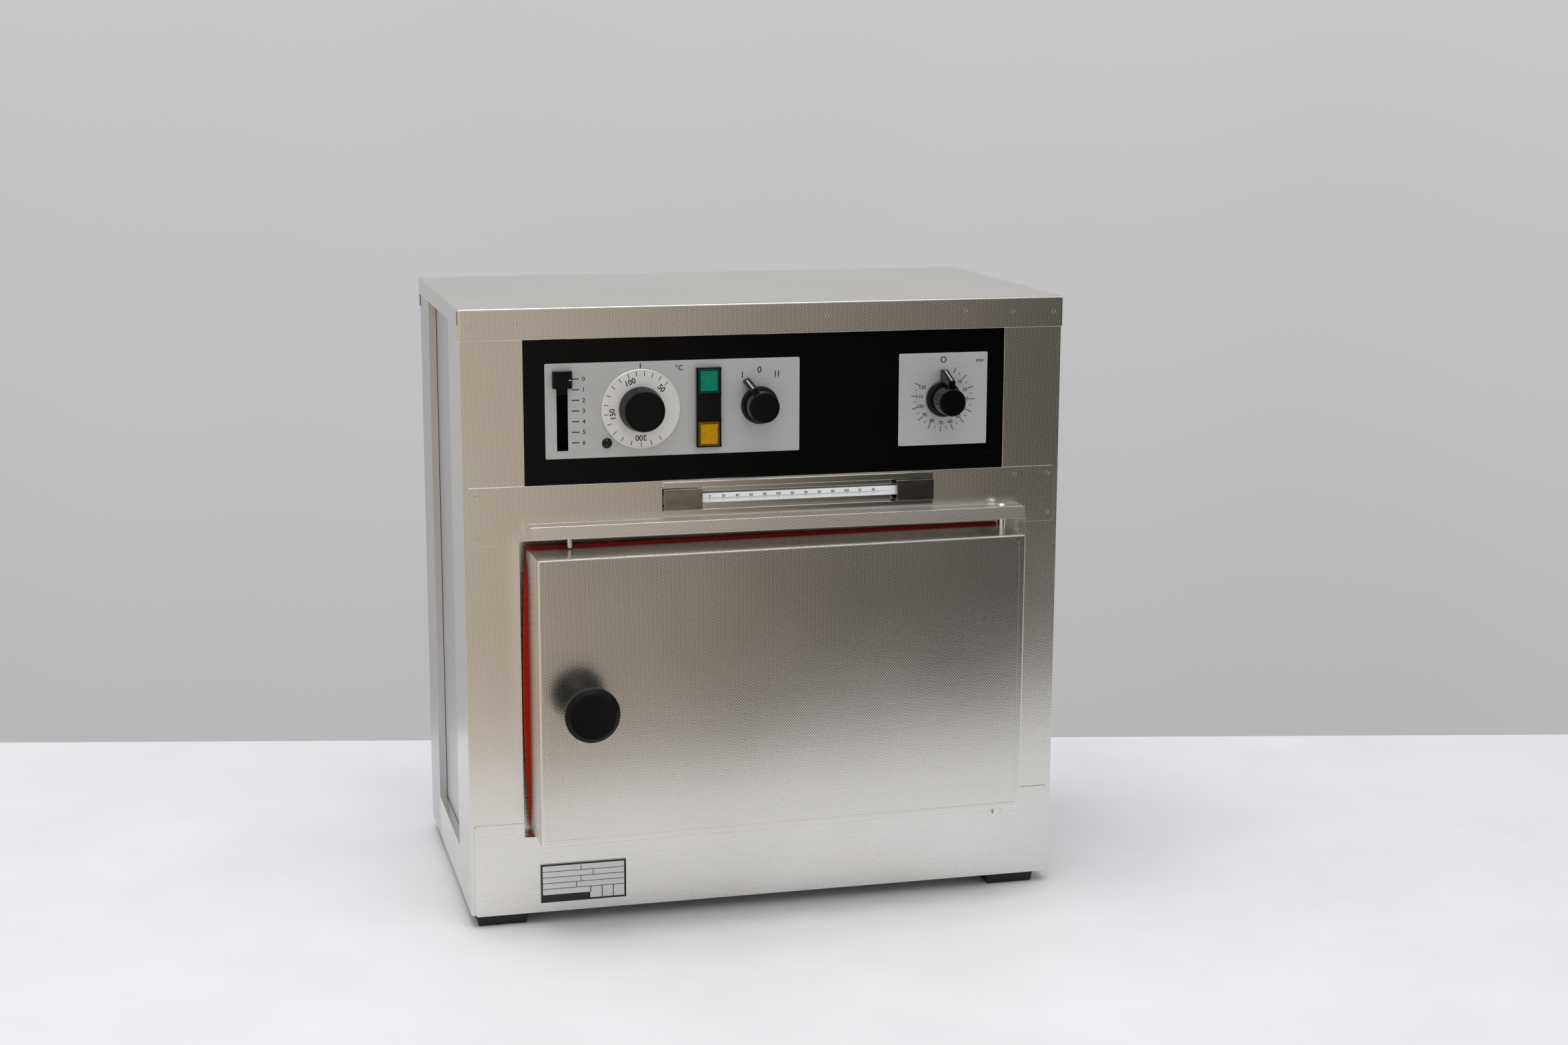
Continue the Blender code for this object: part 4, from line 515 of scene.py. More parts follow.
# %% [markdown]
# ## Turned parts
# Knobs, discs and screw heads are turned or moulded round. A lathe function spins a profile of
# radius and height round an axis that points out of the front, with closed poles.

# %% A lathe for the front's round parts
ROUND_STEPS = 96


def lathe(work, profile, x, y, z, steps=ROUND_STEPS, rising=False):
    rings = []
    for radius, height in profile:
        ring = []
        count = 1 if radius == 0 else steps
        for i in range(count):
            angle = 2.0 * math.pi * i / steps
            flat = (radius * math.cos(angle), radius * math.sin(angle))
            if rising:
                ring.append(work.verts.new((x + flat[0], y + flat[1], z + height)))
            else:
                ring.append(work.verts.new((x + flat[0], y - height, z + flat[1])))
        rings.append(ring)
    for low, high in zip(rings, rings[1:]):
        for i in range(steps):
            corners = [low[i % len(low)], low[(i + 1) % len(low)],
                       high[(i + 1) % len(high)], high[i % len(high)]]
            face = list(dict.fromkeys(corners))
            if len(face) > 2:
                work.faces.new(face)


def arc(centre_r, centre_h, radius, start, end, count=6):
    marks = [math.radians(start + (end - start) * i / (count - 1)) for i in range(count)]
    return [(centre_r + radius * math.cos(a), centre_h + radius * math.sin(a)) for a in marks]


# %% [markdown]
# ## The ledge over the door
# A folded rail shades the door's top gap. Its face leans back a little, so it mirrors the
# bright ceiling and looks lighter than the rail behind. The section is drawn and drawn out.

# %% Ledge rail
ledge_low, ledge_high = box_of("ledge_rail")
LEAN, LEDGE_SHEET = 1.7, 0.8
ledge_section = [
    (ledge_high.y, ledge_high.z), (ledge_low.y + LEAN, ledge_high.z),
    (ledge_low.y, ledge_low.z), (ledge_low.y + 4.0, ledge_low.z),
    (ledge_low.y + 4.0, ledge_low.z + LEDGE_SHEET),
    (ledge_low.y + LEDGE_SHEET, ledge_low.z + LEDGE_SHEET),
    (ledge_low.y + LEAN + LEDGE_SHEET, ledge_high.z - LEDGE_SHEET),
    (ledge_high.y, ledge_high.z - LEDGE_SHEET),
]
work = bmesh.new()
ends = [[work.verts.new((x, y, z)) for y, z in ledge_section] for x in (ledge_low.x, ledge_high.x)]
corners = len(ledge_section)
for i in range(corners):
    work.faces.new([ends[0][i], ends[0][(i + 1) % corners], ends[1][(i + 1) % corners],
                    ends[1][i]])
work.faces.new(ends[0])
work.faces.new(list(reversed(ends[1])))
end_plate = [ledge_section[0], ledge_section[1], ledge_section[2], (ledge_high.y, ledge_low.z)]
for x0, x1 in ((ledge_low.x - 0.01, ledge_low.x + 0.8), (ledge_high.x - 0.8, ledge_high.x + 0.01)):
    sides_of_plate = [[work.verts.new((x, y, z)) for y, z in end_plate] for x in (x0, x1)]
    for i in range(4):
        work.faces.new([sides_of_plate[0][i], sides_of_plate[0][(i + 1) % 4],
                        sides_of_plate[1][(i + 1) % 4], sides_of_plate[1][i]])
    work.faces.new(sides_of_plate[0])
    work.faces.new(list(reversed(sides_of_plate[1])))
piece_from("ledge_rail_folded", work, embossed_stainless, "casing", ("ledge_rail",),
           edge=0.3, steps=3)

# %% [markdown]
# ## The door knob
# It is a bell-shaped moulded knob on a slim neck. Its sides swell in one long curve to a wide
# rim, then a short shoulder leads to a flat face. The curve is an eased blend of two radii.

# %% Door knob
KNOB_X, KNOB_Z = -154.4, 175.1
DOOR_FRONT = -36.35
KNOB_HEIGHT, KNOB_RIM, KNOB_FACE = 37.0, 20.7, 18.1
NECK_RADIUS, NECK_END, RIM_START = 8.2, 12.95, 32.0
knob_profile = [(0.0, 0.3), (9.6, 0.3), (9.9, 0.5), (9.9, 1.2), (9.2, 1.7), (NECK_RADIUS, 2.6)]
BELL_STEPS = 18
for i in range(BELL_STEPS + 1):
    share = i / BELL_STEPS
    rise = NECK_END * 0.5 + (RIM_START - NECK_END * 0.5) * share
    swell = (1.0 - math.cos(math.pi * share ** 1.35)) / 2.0
    knob_profile.append((NECK_RADIUS + (KNOB_RIM - NECK_RADIUS) * swell, rise))
knob_profile += arc(KNOB_RIM - 2.0, RIM_START + 1.5, 2.0, 5.0, 60.0)
knob_profile += arc(KNOB_FACE - 1.2, KNOB_HEIGHT - 1.2, 1.2, 35.0, 90.0)
knob_profile += [(KNOB_FACE - 2.4, KNOB_HEIGHT - 0.35), (0.0, KNOB_HEIGHT - 0.35)]
work = bmesh.new()
lathe(work, knob_profile, KNOB_X, DOOR_FRONT, KNOB_Z)
piece_from("door_knob_moulded", work, phenolic_matt, "door", ("door_knob",),
           hung=True)

# %% [markdown]
# ## Copies in a row, a field or round a centre
# Ticks, knurls, lens pyramids, shelf wires and weld marks repeat. Two Geometry Nodes trees make
# them: one steps a small shape along two directions, one turns it round an axis.

# %% Trees for fields and rings


def node_tree(name, sockets):
    tree = bpy.data.node_groups.new(name, "GeometryNodeTree")
    tree.interface.new_socket("Geometry", in_out="INPUT", socket_type="NodeSocketGeometry")
    for label, kind in sockets:
        tree.interface.new_socket(label, in_out="INPUT", socket_type=kind)
    tree.interface.new_socket("Geometry", in_out="OUTPUT", socket_type="NodeSocketGeometry")
    return tree, add_node(tree, "NodeGroupInput"), add_node(tree, "NodeGroupOutput")


def finish_tree(tree, inputs, outputs, points, rotation=None):
    links = {"Points": points, "Instance": inputs.outputs["Geometry"]}
    if rotation is not None:
        links["Rotation"] = rotation
    copies = add_node(tree, "GeometryNodeInstanceOnPoints", links)
    solid = add_node(
        tree, "GeometryNodeRealizeInstances", {"Geometry": copies.outputs["Instances"]},
    )
    painted = add_node(
        tree, "GeometryNodeSetMaterial",
        {"Geometry": solid.outputs["Geometry"], "Material": inputs.outputs["Material"]},
    )
    tree.links.new(painted.outputs["Geometry"], outputs.inputs["Geometry"])


field_tree, inputs, outputs = node_tree("field_of_copies", (
    ("Count", "NodeSocketInt"), ("Row length", "NodeSocketInt"),
    ("Step", "NodeSocketVector"), ("Row step", "NodeSocketVector"),
    ("Material", "NodeSocketMaterial"),
))
line = add_node(
    field_tree, "GeometryNodeMeshLine", {"Count": inputs.outputs["Count"]},
    {"Offset": (0.0, 0.0, 0.0)},
)
index = add_node(field_tree, "GeometryNodeInputIndex")
column = add_node(
    field_tree, "ShaderNodeMath",
    {0: index.outputs["Index"], 1: inputs.outputs["Row length"]}, operation="MODULO",
)
row = add_node(
    field_tree, "ShaderNodeMath",
    {0: index.outputs["Index"], 1: inputs.outputs["Row length"]}, operation="DIVIDE",
)
whole_row = add_node(field_tree, "ShaderNodeMath", {0: row.outputs["Value"]}, operation="FLOOR")
sideways = add_node(
    field_tree, "ShaderNodeVectorMath",
    {0: inputs.outputs["Step"], "Scale": column.outputs["Value"]}, operation="SCALE",
)
onward = add_node(
    field_tree, "ShaderNodeVectorMath",
    {0: inputs.outputs["Row step"], "Scale": whole_row.outputs["Value"]}, operation="SCALE",
)
place = add_node(
    field_tree, "ShaderNodeVectorMath",
    {0: sideways.outputs["Vector"], 1: onward.outputs["Vector"]}, operation="ADD",
)
spots = add_node(
    field_tree, "GeometryNodeSetPosition",
    {"Geometry": line.outputs["Mesh"], "Position": place.outputs["Vector"]},
)
finish_tree(field_tree, inputs, outputs, spots.outputs["Geometry"])

ring_tree, inputs, outputs = node_tree("ring_of_copies", (
    ("Count", "NodeSocketInt"), ("Start", "NodeSocketFloat"), ("Turn", "NodeSocketFloat"),
    ("Material", "NodeSocketMaterial"),
))
line = add_node(
    ring_tree, "GeometryNodeMeshLine", {"Count": inputs.outputs["Count"]},
    {"Offset": (0.0, 0.0, 0.0)},
)
index = add_node(ring_tree, "GeometryNodeInputIndex")
angle = add_node(
    ring_tree, "ShaderNodeMath",
    {0: index.outputs["Index"], 1: inputs.outputs["Turn"], 2: inputs.outputs["Start"]},
    operation="MULTIPLY_ADD",
)
about = add_node(ring_tree, "ShaderNodeCombineXYZ", {"Y": angle.outputs["Value"]})
finish_tree(ring_tree, inputs, outputs, line.outputs["Mesh"], about.outputs["Vector"])

# %% [markdown]
# ## Running a tree once
# The small shape is drawn round its own centre in metres. The modifier's inputs are set by
# identifier, the result becomes a plain mesh, and that mesh is moved to its place.

# %% Use a tree and keep its mesh


def copies(tree, work, material, **values):
    seed_mesh = bpy.data.meshes.new("seed_shape")
    bmesh.ops.recalc_face_normals(work, faces=work.faces)
    bmesh.ops.scale(work, vec=(MM, MM, MM), verts=work.verts)
    work.to_mesh(seed_mesh)
    work.free()
    seed = bpy.data.objects.new("seed_shape", seed_mesh)
    bpy.context.scene.collection.objects.link(seed)
    modifier = seed.modifiers.new("copies", "NODES")
    modifier.node_group = tree
    values["Material"] = material
    for item in tree.interface.items_tree:
        label = item.name.replace(" ", "_")
        if item.in_out == "INPUT" and label in values:
            modifier[item.identifier] = values[label]
    depsgraph = bpy.context.evaluated_depsgraph_get()
    mesh = bpy.data.meshes.new_from_object(seed.evaluated_get(depsgraph))
    bpy.data.objects.remove(seed)
    return mesh


def merged(parts):
    work = bmesh.new()
    for mesh, centre in parts:
        start = len(work.verts)
        work.from_mesh(mesh)
        work.verts.ensure_lookup_table()
        for vert in work.verts[start:]:
            vert.co += centre
    return work


def piece_from_copies(name, parts, material, body, stands_for=(), hung=False):
    work = merged(parts)
    if hung:
        bmesh.ops.transform(work, matrix=HUNG, verts=work.verts)
    mesh = bpy.data.meshes.new(name)
    work.to_mesh(mesh)
    work.free()
    print(name, len(mesh.polygons), "faces on", body)
    return link_piece(name, mesh, material, body, stands_for)


def block(work, low, high):
    corners = [
        work.verts.new((x, y, z))
        for x in (low[0], high[0]) for y in (low[1], high[1]) for z in (low[2], high[2])
    ]
    for face in ((0, 1, 3, 2), (4, 6, 7, 5), (0, 4, 5, 1), (2, 3, 7, 6), (0, 2, 6, 4),
                 (1, 5, 7, 3)):
        work.faces.new([corners[i] for i in face])


# %% [markdown]
# ## The temperature dial
# A flat silver disc with a black printed scale turns behind a knurled pull. The pull narrows a
# little towards its face and its whole side is finely ribbed for the fingers.

# %% Dial disc and knurled pull
CONTROL_Z = 388.3
DIAL_X = -99.4
DISC_RADIUS = 30.0
work = bmesh.new()
lathe(work, [(0.0, 0.0), (DISC_RADIUS - 0.4, 0.0), (DISC_RADIUS, 0.4), (DISC_RADIUS, 1.1),
             (DISC_RADIUS - 0.35, 1.5), (DISC_RADIUS - 1.1, 1.5), (DISC_RADIUS - 1.3, 1.32),
             (0.0, 1.32)], DIAL_X, 0.0, CONTROL_Z, steps=160)
piece_from("dial_disc_turned", work, disc_silver, "dial", ("dial_disc",))

PULL_BACK, PULL_HEIGHT = 1.8, 15.5
PULL_WIDE, PULL_NARROW = 16.9, 15.3
work = bmesh.new()
lathe(work, [(0.0, 0.0), (PULL_WIDE - 0.3, 0.0), (PULL_WIDE, 0.3), (PULL_NARROW, 14.6)]
      + arc(PULL_NARROW - 0.7, 14.8, 0.7, 10.0, 90.0)
      + [(14.0, PULL_HEIGHT), (13.8, 15.2), (13.2, 15.2), (13.0, PULL_HEIGHT - 0.05),
         (0.0, PULL_HEIGHT - 0.05)],
      DIAL_X, -PULL_BACK, CONTROL_Z)
piece_from("dial_pull_core", work, phenolic_matt, "dial", ("dial_knob",))

KNURLS = 120
work = bmesh.new()
half = 0.24
for radius, height in ((PULL_WIDE - 0.1, 0.4), (PULL_NARROW - 0.1, 14.5)):
    for x, r in ((-half, radius), (0.0, radius + 0.4), (half, radius)):
        work.verts.new((x, -PULL_BACK - height, r))
work.verts.ensure_lookup_table()
for face in ((0, 1, 4, 3), (1, 2, 5, 4), (2, 0, 3, 5), (0, 2, 1), (3, 4, 5)):
    work.faces.new([work.verts[i] for i in face])
knurls = copies(ring_tree, work, phenolic_matt, Count=KNURLS, Start=0.0,
                Turn=2.0 * math.pi / KNURLS)
piece_from_copies("dial_pull_knurls", [(knurls, at(DIAL_X, 0.0, CONTROL_Z))], phenolic_matt,
                  "dial")

# %% [markdown]
# ## Printed scales
# Print is a few hundredths of a millimetre thick. Figures come from a text curve that is made
# a mesh first, then scaled to its true height and laid on the plate.

# %% Ink helpers
INK = 0.03


def letters(work, words, height, x, z, y, turn=0.0, weight=0.016):
    curve = bpy.data.curves.new("letters", "FONT")
    curve.body = words
    curve.size = 1.0
    curve.extrude = 0.01
    curve.offset = weight
    text = bpy.data.objects.new("letters", curve)
    bpy.context.scene.collection.objects.link(text)
    depsgraph = bpy.context.evaluated_depsgraph_get()
    mesh = bpy.data.meshes.new_from_object(text.evaluated_get(depsgraph))
    bpy.data.objects.remove(text)
    xs = [v.co.x for v in mesh.vertices]
    ys = [v.co.y for v in mesh.vertices]
    middle = Vector(((min(xs) + max(xs)) / 2.0, (min(ys) + max(ys)) / 2.0, 0.0))
    size = height / (max(ys) - min(ys))
    start = len(work.verts)
    work.from_mesh(mesh)
    work.verts.ensure_lookup_table()
    swing = Matrix.Rotation(-math.radians(turn), 3, "Z")
    for vert in work.verts[start:]:
        flat = swing @ ((vert.co - middle) * size)
        lift = INK if vert.co.z > 0.0 else 0.0
        vert.co = Vector((x + flat.x, y - lift, z + flat.y))


def bar(work, x0, x1, z0, z1, y):
    block(work, (x0, y - INK, z0), (x1, y, z1))


def clockwise(centre_x, centre_z, radius, degrees):
    angle = math.radians(degrees)
    return centre_x + radius * math.sin(angle), centre_z + radius * math.cos(angle)


# %% [markdown]
# ## The dial's scale
# The marks aren't evenly spaced, because the sensor isn't linear: three runs of even steps come
# close. The figures stand with their heads outwards and turn with the disc.

# %% Scale on the dial disc
DISC_FACE = -1.33
parts = []
for first, last, steps in ((46.0, -20.8, 5), (-20.8, -98.0, 5), (-98.0, -213.0, 7)):
    work = bmesh.new()
    bar(work, -0.27, 0.27, 24.9, 28.5, DISC_FACE)
    step = math.radians((last - first) / steps)
    ticks = copies(ring_tree, work, print_black, Count=steps + (steps == 7),
                   Start=math.radians(first), Turn=step)
    parts.append((ticks, at(DIAL_X, 0.0, CONTROL_Z)))
piece_from_copies("dial_scale_ticks", parts, print_black, "dial")
work = bmesh.new()
for words, degrees in (("50", 46.0), ("100", -20.8), ("150", -98.0), ("200", -179.4)):
    x, z = clockwise(DIAL_X, CONTROL_Z, 22.0, degrees)
    letters(work, words, 4.3, x, z, DISC_FACE, degrees, 0.02)
piece_from("dial_scale_figures", work, print_black, "dial")

# %% [markdown]
# ## The print on the control plate
# The plate carries the vent scale from 0 to 6, the index above the dial with its unit, and
# the three positions of the switch.

# %% Print on the control plate
PLATE_FACE = box_of("control_plate")[0].y
VENT_TOP, VENT_STEP = 412.15, 8.0
VENT_MARKS = 7
work = bmesh.new()
bar(work, -151.7, -146.0, -0.4, 0.4, 0.0)
ticks = copies(field_tree, work, print_black, Count=VENT_MARKS, Row_length=VENT_MARKS,
               Step=(0.0, 0.0, -VENT_STEP * MM), Row_step=(0.0, 0.0, 0.0))
piece_from_copies("vent_scale_ticks", [(ticks, at(0.0, PLATE_FACE, VENT_TOP))], print_black,
                  "casing")
work = bmesh.new()
for mark in range(VENT_MARKS):
    letters(work, str(mark), 3.3, -142.6, VENT_TOP - VENT_STEP * mark, PLATE_FACE)
bar(work, DIAL_X - 0.42, DIAL_X + 0.42, 418.7, 422.8, PLATE_FACE)
letters(work, "°C", 4.2, -69.7, 418.5, PLATE_FACE)
letters(work, "0", 4.8, -7.7, 415.2, PLATE_FACE)
for x in (-21.0, 4.7, 7.1):
    bar(work, x - 0.42, x + 0.42, 409.2, 414.1, PLATE_FACE)
piece_from("control_plate_figures", work, print_black, "casing")

# %% [markdown]
# ## The timer's scale
# Thirteen long marks run from 10 to 120 minutes and on, with a short one between each pair.
# The figures stay upright and sit inside the ring of marks where the knob leaves room.

# %% Print on the timer plate
TIMER_X = 138.55
TIMER_FACE = box_of("timer_plate")[0].y
FIRST_MARK, MARK_TURN = 23.0, 23.05
parts = []
for inner, outer, half, count, start in (
    (21.3, 25.9, 0.3, 13, FIRST_MARK), (21.7, 24.0, 0.22, 12, FIRST_MARK + MARK_TURN / 2.0),
):
    work = bmesh.new()
    bar(work, -half, half, inner, outer, TIMER_FACE)
    ticks = copies(ring_tree, work, print_black, Count=count, Start=math.radians(start),
                   Turn=math.radians(MARK_TURN))
    parts.append((ticks, at(TIMER_X, 0.0, CONTROL_Z)))
piece_from_copies("timer_scale_ticks", parts, print_black, "casing")
work = bmesh.new()
for n in range(1, 13):
    x, z = clockwise(TIMER_X, CONTROL_Z, 18.9, FIRST_MARK + MARK_TURN * n)
    letters(work, str(10 * n), 2.9, x, z, TIMER_FACE)
letters(work, "O", 4.8, TIMER_X, 418.7, TIMER_FACE)
letters(work, "min", 2.8, 168.0, 417.6, TIMER_FACE)
piece_from("timer_plate_figures", work, print_black, "casing")

# %% [markdown]
# ## Pointer knobs
# The switch and the timer have the same kind of knob: a skirt, a glossy drum with a plain face,
# and a fin at one side whose sloping ridge carries a white line on a grey strip.

# %% Pointer knobs


def prism(work, outline, width, centre, degrees):
    angle = math.radians(degrees)
    out = Vector((math.sin(angle), 0.0, math.cos(angle)))
    side = Vector((math.cos(angle), 0.0, -math.sin(angle)))
    rows = []
    for offset in (-width / 2.0, width / 2.0):
        rows.append([
            work.verts.new(Vector(centre) + out * r + side * offset + Vector((0.0, -h, 0.0)))
            for r, h in outline
        ])
    count = len(outline)
    for i in range(count):
        work.faces.new([rows[0][i], rows[0][(i + 1) % count], rows[1][(i + 1) % count],
                        rows[1][i]])
    work.faces.new(rows[0])
    work.faces.new(list(reversed(rows[1])))


def pointer_knob(name, node, x, base, drum, height, degrees, body):
    centre = (x, 0.0, CONTROL_Z)
    work = bmesh.new()
    lathe(work, [(0.0, 0.3), (base - 0.4, 0.3), (base, 0.7), (base, 2.2)]
          + arc(base - 1.0, 2.2, 1.0, 20.0, 80.0, 4)
          + [(drum + 0.35, 3.6), (drum + 0.05, 4.6), (drum - 0.35, height - 1.1)]
          + arc(drum - 1.3, height - 0.9, 0.9, 5.0, 90.0)
          + [(0.0, height)], *centre)
    piece_from(name + "_drum", work, phenolic_gloss, body, (node,))
    ridge = [(drum * 0.6, 0.5), (22.8, 0.5), (22.8, 3.2), (16.4, height - 2.4),
             (drum * 0.6, height - 2.4)]
    work = bmesh.new()
    prism(work, ridge, 5.5, centre, degrees)
    piece_from(name + "_fin", work, phenolic_gloss, body, edge=0.5)
    for strip, half, lift, material in (
        ("_inlay", 1.7, 0.12, inlay_grey_and_slot_shade), ("_line", 0.3, 0.2, print_white),
    ):
        low, high = Vector((22.4, 4.2)), Vector((16.7, height - 2.9))
        slope = (high - low).normalized()
        proud = Vector((-slope.y, slope.x)) * -lift
        outline = [low - proud * 2.0, low + proud, high + proud, high - proud * 2.0]
        work = bmesh.new()
        prism(work, [tuple(p) for p in outline], 2.0 * half, centre, degrees)
        piece_from(name + strip, work, material, body)


pointer_knob("switch_pointer", "switch_knob", -7.8, 14.5, 12.2, 17.2, -29.0, "switch")
pointer_knob("timer_pointer", "timer_knob", TIMER_X, 14.0, 11.0, 24.4, 0.0, "timer")

# %% [markdown]
# ## Vent knob and adjusting screw
# The vent is set by a small black block that slides in a slot beside its scale. Its sides are
# chamfered and a white line points at the number. Below the dial sits a slotted cap.

# %% Vent knob and adjuster
low, high = box_of("vent_knob")
work = bmesh.new()
half_x = (high.x - low.x) / 2.0
middle_x = (high.x + low.x) / 2.0
front, back = low.y, high.y
waist, inset = back - (back - front) * 0.45, 1.6
outline = [(-half_x, back), (-half_x, waist), (-half_x + inset, front),
           (half_x - inset, front), (half_x, waist), (half_x, back)]
rows = [[work.verts.new((middle_x + x, y, z)) for x, y in outline] for z in (low.z, high.z)]
for i in range(6):
    work.faces.new([rows[0][i], rows[0][(i + 1) % 6], rows[1][(i + 1) % 6], rows[1][i]])
work.faces.new(rows[0])
work.faces.new(list(reversed(rows[1])))
piece_from("vent_knob_moulded", work, phenolic_matt, "vent_slider", ("vent_knob",),
           edge=0.5)
work = bmesh.new()
block(work, (middle_x + half_x - 3.2, front - 0.05, VENT_TOP - 0.3),
      (middle_x + half_x - 1.7, front + 0.3, VENT_TOP + 0.3))
piece_from("vent_knob_index", work, print_white, "vent_slider")

low, high = box_of("adjuster_cap")
cap_radius = (high.x - low.x) / 2.0
cap_height = high.y - low.y
ADJUSTER_X, ADJUSTER_Z = -125.2, 363.0
work = bmesh.new()
lathe(work, [(0.0, 0.0), (cap_radius - 0.2, 0.0), (cap_radius, 0.3),
             (cap_radius, cap_height * 0.45)]
      + [(cap_radius * math.cos(math.radians(a)),
          cap_height * (0.45 + 0.5 * math.sin(math.radians(a)))) for a in (15, 30, 45, 60, 75)]
      + [(0.0, cap_height * 0.95)], ADJUSTER_X, high.y, ADJUSTER_Z, steps=48)
piece_from("adjuster_cap_domed", work, phenolic_gloss, "adjuster", ("adjuster_cap",))
# The slot isn't cut: a thin dark grey bar over the dome is painted shade for the groove.
work = bmesh.new()
prism(work, [(-cap_radius * 0.86, cap_height * 0.6), (cap_radius * 0.86, cap_height * 0.6),
             (cap_radius * 0.8, cap_height * 0.97), (-cap_radius * 0.8, cap_height * 0.97)],
      0.9, (ADJUSTER_X, high.y, ADJUSTER_Z), 45.0)
piece_from("adjuster_slot", work, inlay_grey_and_slot_shade, "adjuster")

# %% [markdown]
# ## Signal lamps
# One black housing holds three windows: a green lens, a blank, and a yellow lens. Each lens
# has a smooth frame round a field of small pyramids that scatter the lamp's light.

# %% Lamp housing and lenses
low, high = box_of("lamp_housing")
folded("lamp_housing", phenolic_gloss, "casing", 0.25)
# Painted shade: each lens frame gets the darker copy of its acrylic.
for node, clear, deep in (
    ("green_lens", lens_green, lens_green_frame_painted_shade), ("yellow_lens", lens_yellow, lens_yellow_frame_painted_shade),
):
    folded(node, deep, "casing", 0.5)
    lens_low, lens_high = box_of(node)
    margin, pyramid = 1.9, 1.15
    width = lens_high.x - lens_low.x - 2.0 * margin
    tall = lens_high.z - lens_low.z - 2.0 * margin
    across_count, up_count = int(width / pyramid), int(tall / pyramid)
    step_x, step_z = width / across_count, tall / up_count
    work = bmesh.new()
    base = [work.verts.new((x * step_x / 2.0, 0.0, z * step_z / 2.0))
            for x, z in ((-1, -1), (1, -1), (1, 1), (-1, 1))]
    tip = work.verts.new((0.0, -0.42, 0.0))
    foot = work.verts.new((0.0, 0.1, 0.0))
    for i in range(4):
        work.faces.new([base[i], base[(i + 1) % 4], tip])
        work.faces.new([base[(i + 1) % 4], base[i], foot])
    pyramids = copies(
        field_tree, work, clear, Count=across_count * up_count, Row_length=across_count,
        Step=(step_x * MM, 0.0, 0.0), Row_step=(0.0, 0.0, step_z * MM),
    )
    corner = at(lens_low.x + margin + step_x / 2.0, lens_low.y - 0.02,
                lens_low.z + margin + step_z / 2.0)
    piece_from_copies(node + "_prisms", [(pyramids, corner)], clear, "casing")

# %% [markdown]
# ## Strips between the lamp windows
# The housing has a black strip over, under and between its windows, a little prouder than
# the lenses. Each is a low bar with rounded edges.

# %% Lamp strips
LAMP_LEFT, LAMP_RIGHT = low.x, high.x
STRIP_PROUD = 0.35
work = bmesh.new()
for z0, z1 in ((416.3, 418.3), (397.2, 399.0), (377.2, 379.7), (357.7, 360.1)):
    block(work, (LAMP_LEFT, low.y - STRIP_PROUD, z0), (LAMP_RIGHT + 0.25, low.y + 1.0, z1))
block(work, (LAMP_LEFT + 0.6, low.y - 0.25, 379.9), (LAMP_RIGHT - 0.6, low.y + 0.4, 397.0))
piece_from("lamp_housing_strips", work, phenolic_gloss, "casing",
           edge=0.25)

# %% [markdown]
# ## The thermometer
# A glass tube lies in a polished trough, and a bright clip holds each end. Its wall is thin and
# clear, so what the eye sees is the white strip sealed inside, with figures and fine marks. The
# strip is built at the tube's width and its gloss stands for the glass.

# %% Thermometer
folded("thermometer_holder", polished_stainless, "casing", 0.3)
folded("left_clip", clip_steel_painted_reflection, "casing", 0.35)
folded("right_clip", clip_steel_painted_reflection, "casing", 0.35)
glass_low, glass_high = box_of("thermometer_glass")
GLASS_Y = (glass_low.y + glass_high.y) / 2.0
GLASS_Z = (glass_low.z + glass_high.z) / 2.0
GLASS_RADIUS = (glass_high.z - glass_low.z) / 2.0
right_clip = box_of("right_clip")
strip_start, strip_end = glass_low.x + 0.4, glass_high.x - 0.4
STRIP_HALF = GLASS_RADIUS - 0.35
STRIP_FACE = GLASS_Y - 1.6
work = bmesh.new()
block(work, (strip_start, STRIP_FACE, GLASS_Z - STRIP_HALF),
      (strip_end, GLASS_Y + 1.4, GLASS_Z + STRIP_HALF))
piece_from("thermometer_strip", work, strip_white, "casing", ("thermometer_glass",),
           edge=0.5, steps=4)
NUMBER_STEP = 10.79
ZERO_X = -47.0
work = bmesh.new()
for i, words in enumerate(("0", "20", "40", "60", "80", "100", "20", "40", "60", "80", "200",
                           "20", "40")):
    letters(work, words, 2.1, ZERO_X + NUMBER_STEP * i, GLASS_Z + 1.35, STRIP_FACE, weight=0.02)
bar(work, ZERO_X - 4.0, right_clip[0].x - 3.0, GLASS_Z - 0.22, GLASS_Z - 0.05, STRIP_FACE)
piece_from("thermometer_figures", work, print_black, "casing")
parts = []
for half, drop, step, count in ((0.07, 1.0, NUMBER_STEP / 10.0, 125),
                                (0.11, 1.9, NUMBER_STEP, 13)):
    work = bmesh.new()
    bar(work, -half, half, -drop, 0.0, 0.0)
    ticks = copies(field_tree, work, print_black, Count=count, Row_length=count,
                   Step=(step * MM, 0.0, 0.0), Row_step=(0.0, 0.0, 0.0))
    parts.append((ticks, at(ZERO_X, STRIP_FACE, GLASS_Z - 0.2)))
piece_from_copies("thermometer_ticks", parts, print_black, "casing")

# %% [markdown]
# ## Door gasket
# A red silicone profile runs round the back of the door. It is squeezed out most half way up
# the free side, so its edge there is a long shallow bow.

# %% Gasket
GASKET_X0, GASKET_X1, GASKET_Z0, GASKET_Z1 = -191.5, 188.0, 61.0, 289.9
GASKET_WIDTH, GASKET_BACK, GASKET_FRONT = 16.0, 11.7, 8.8
BOW, END_RISE = 4.6, 2.6


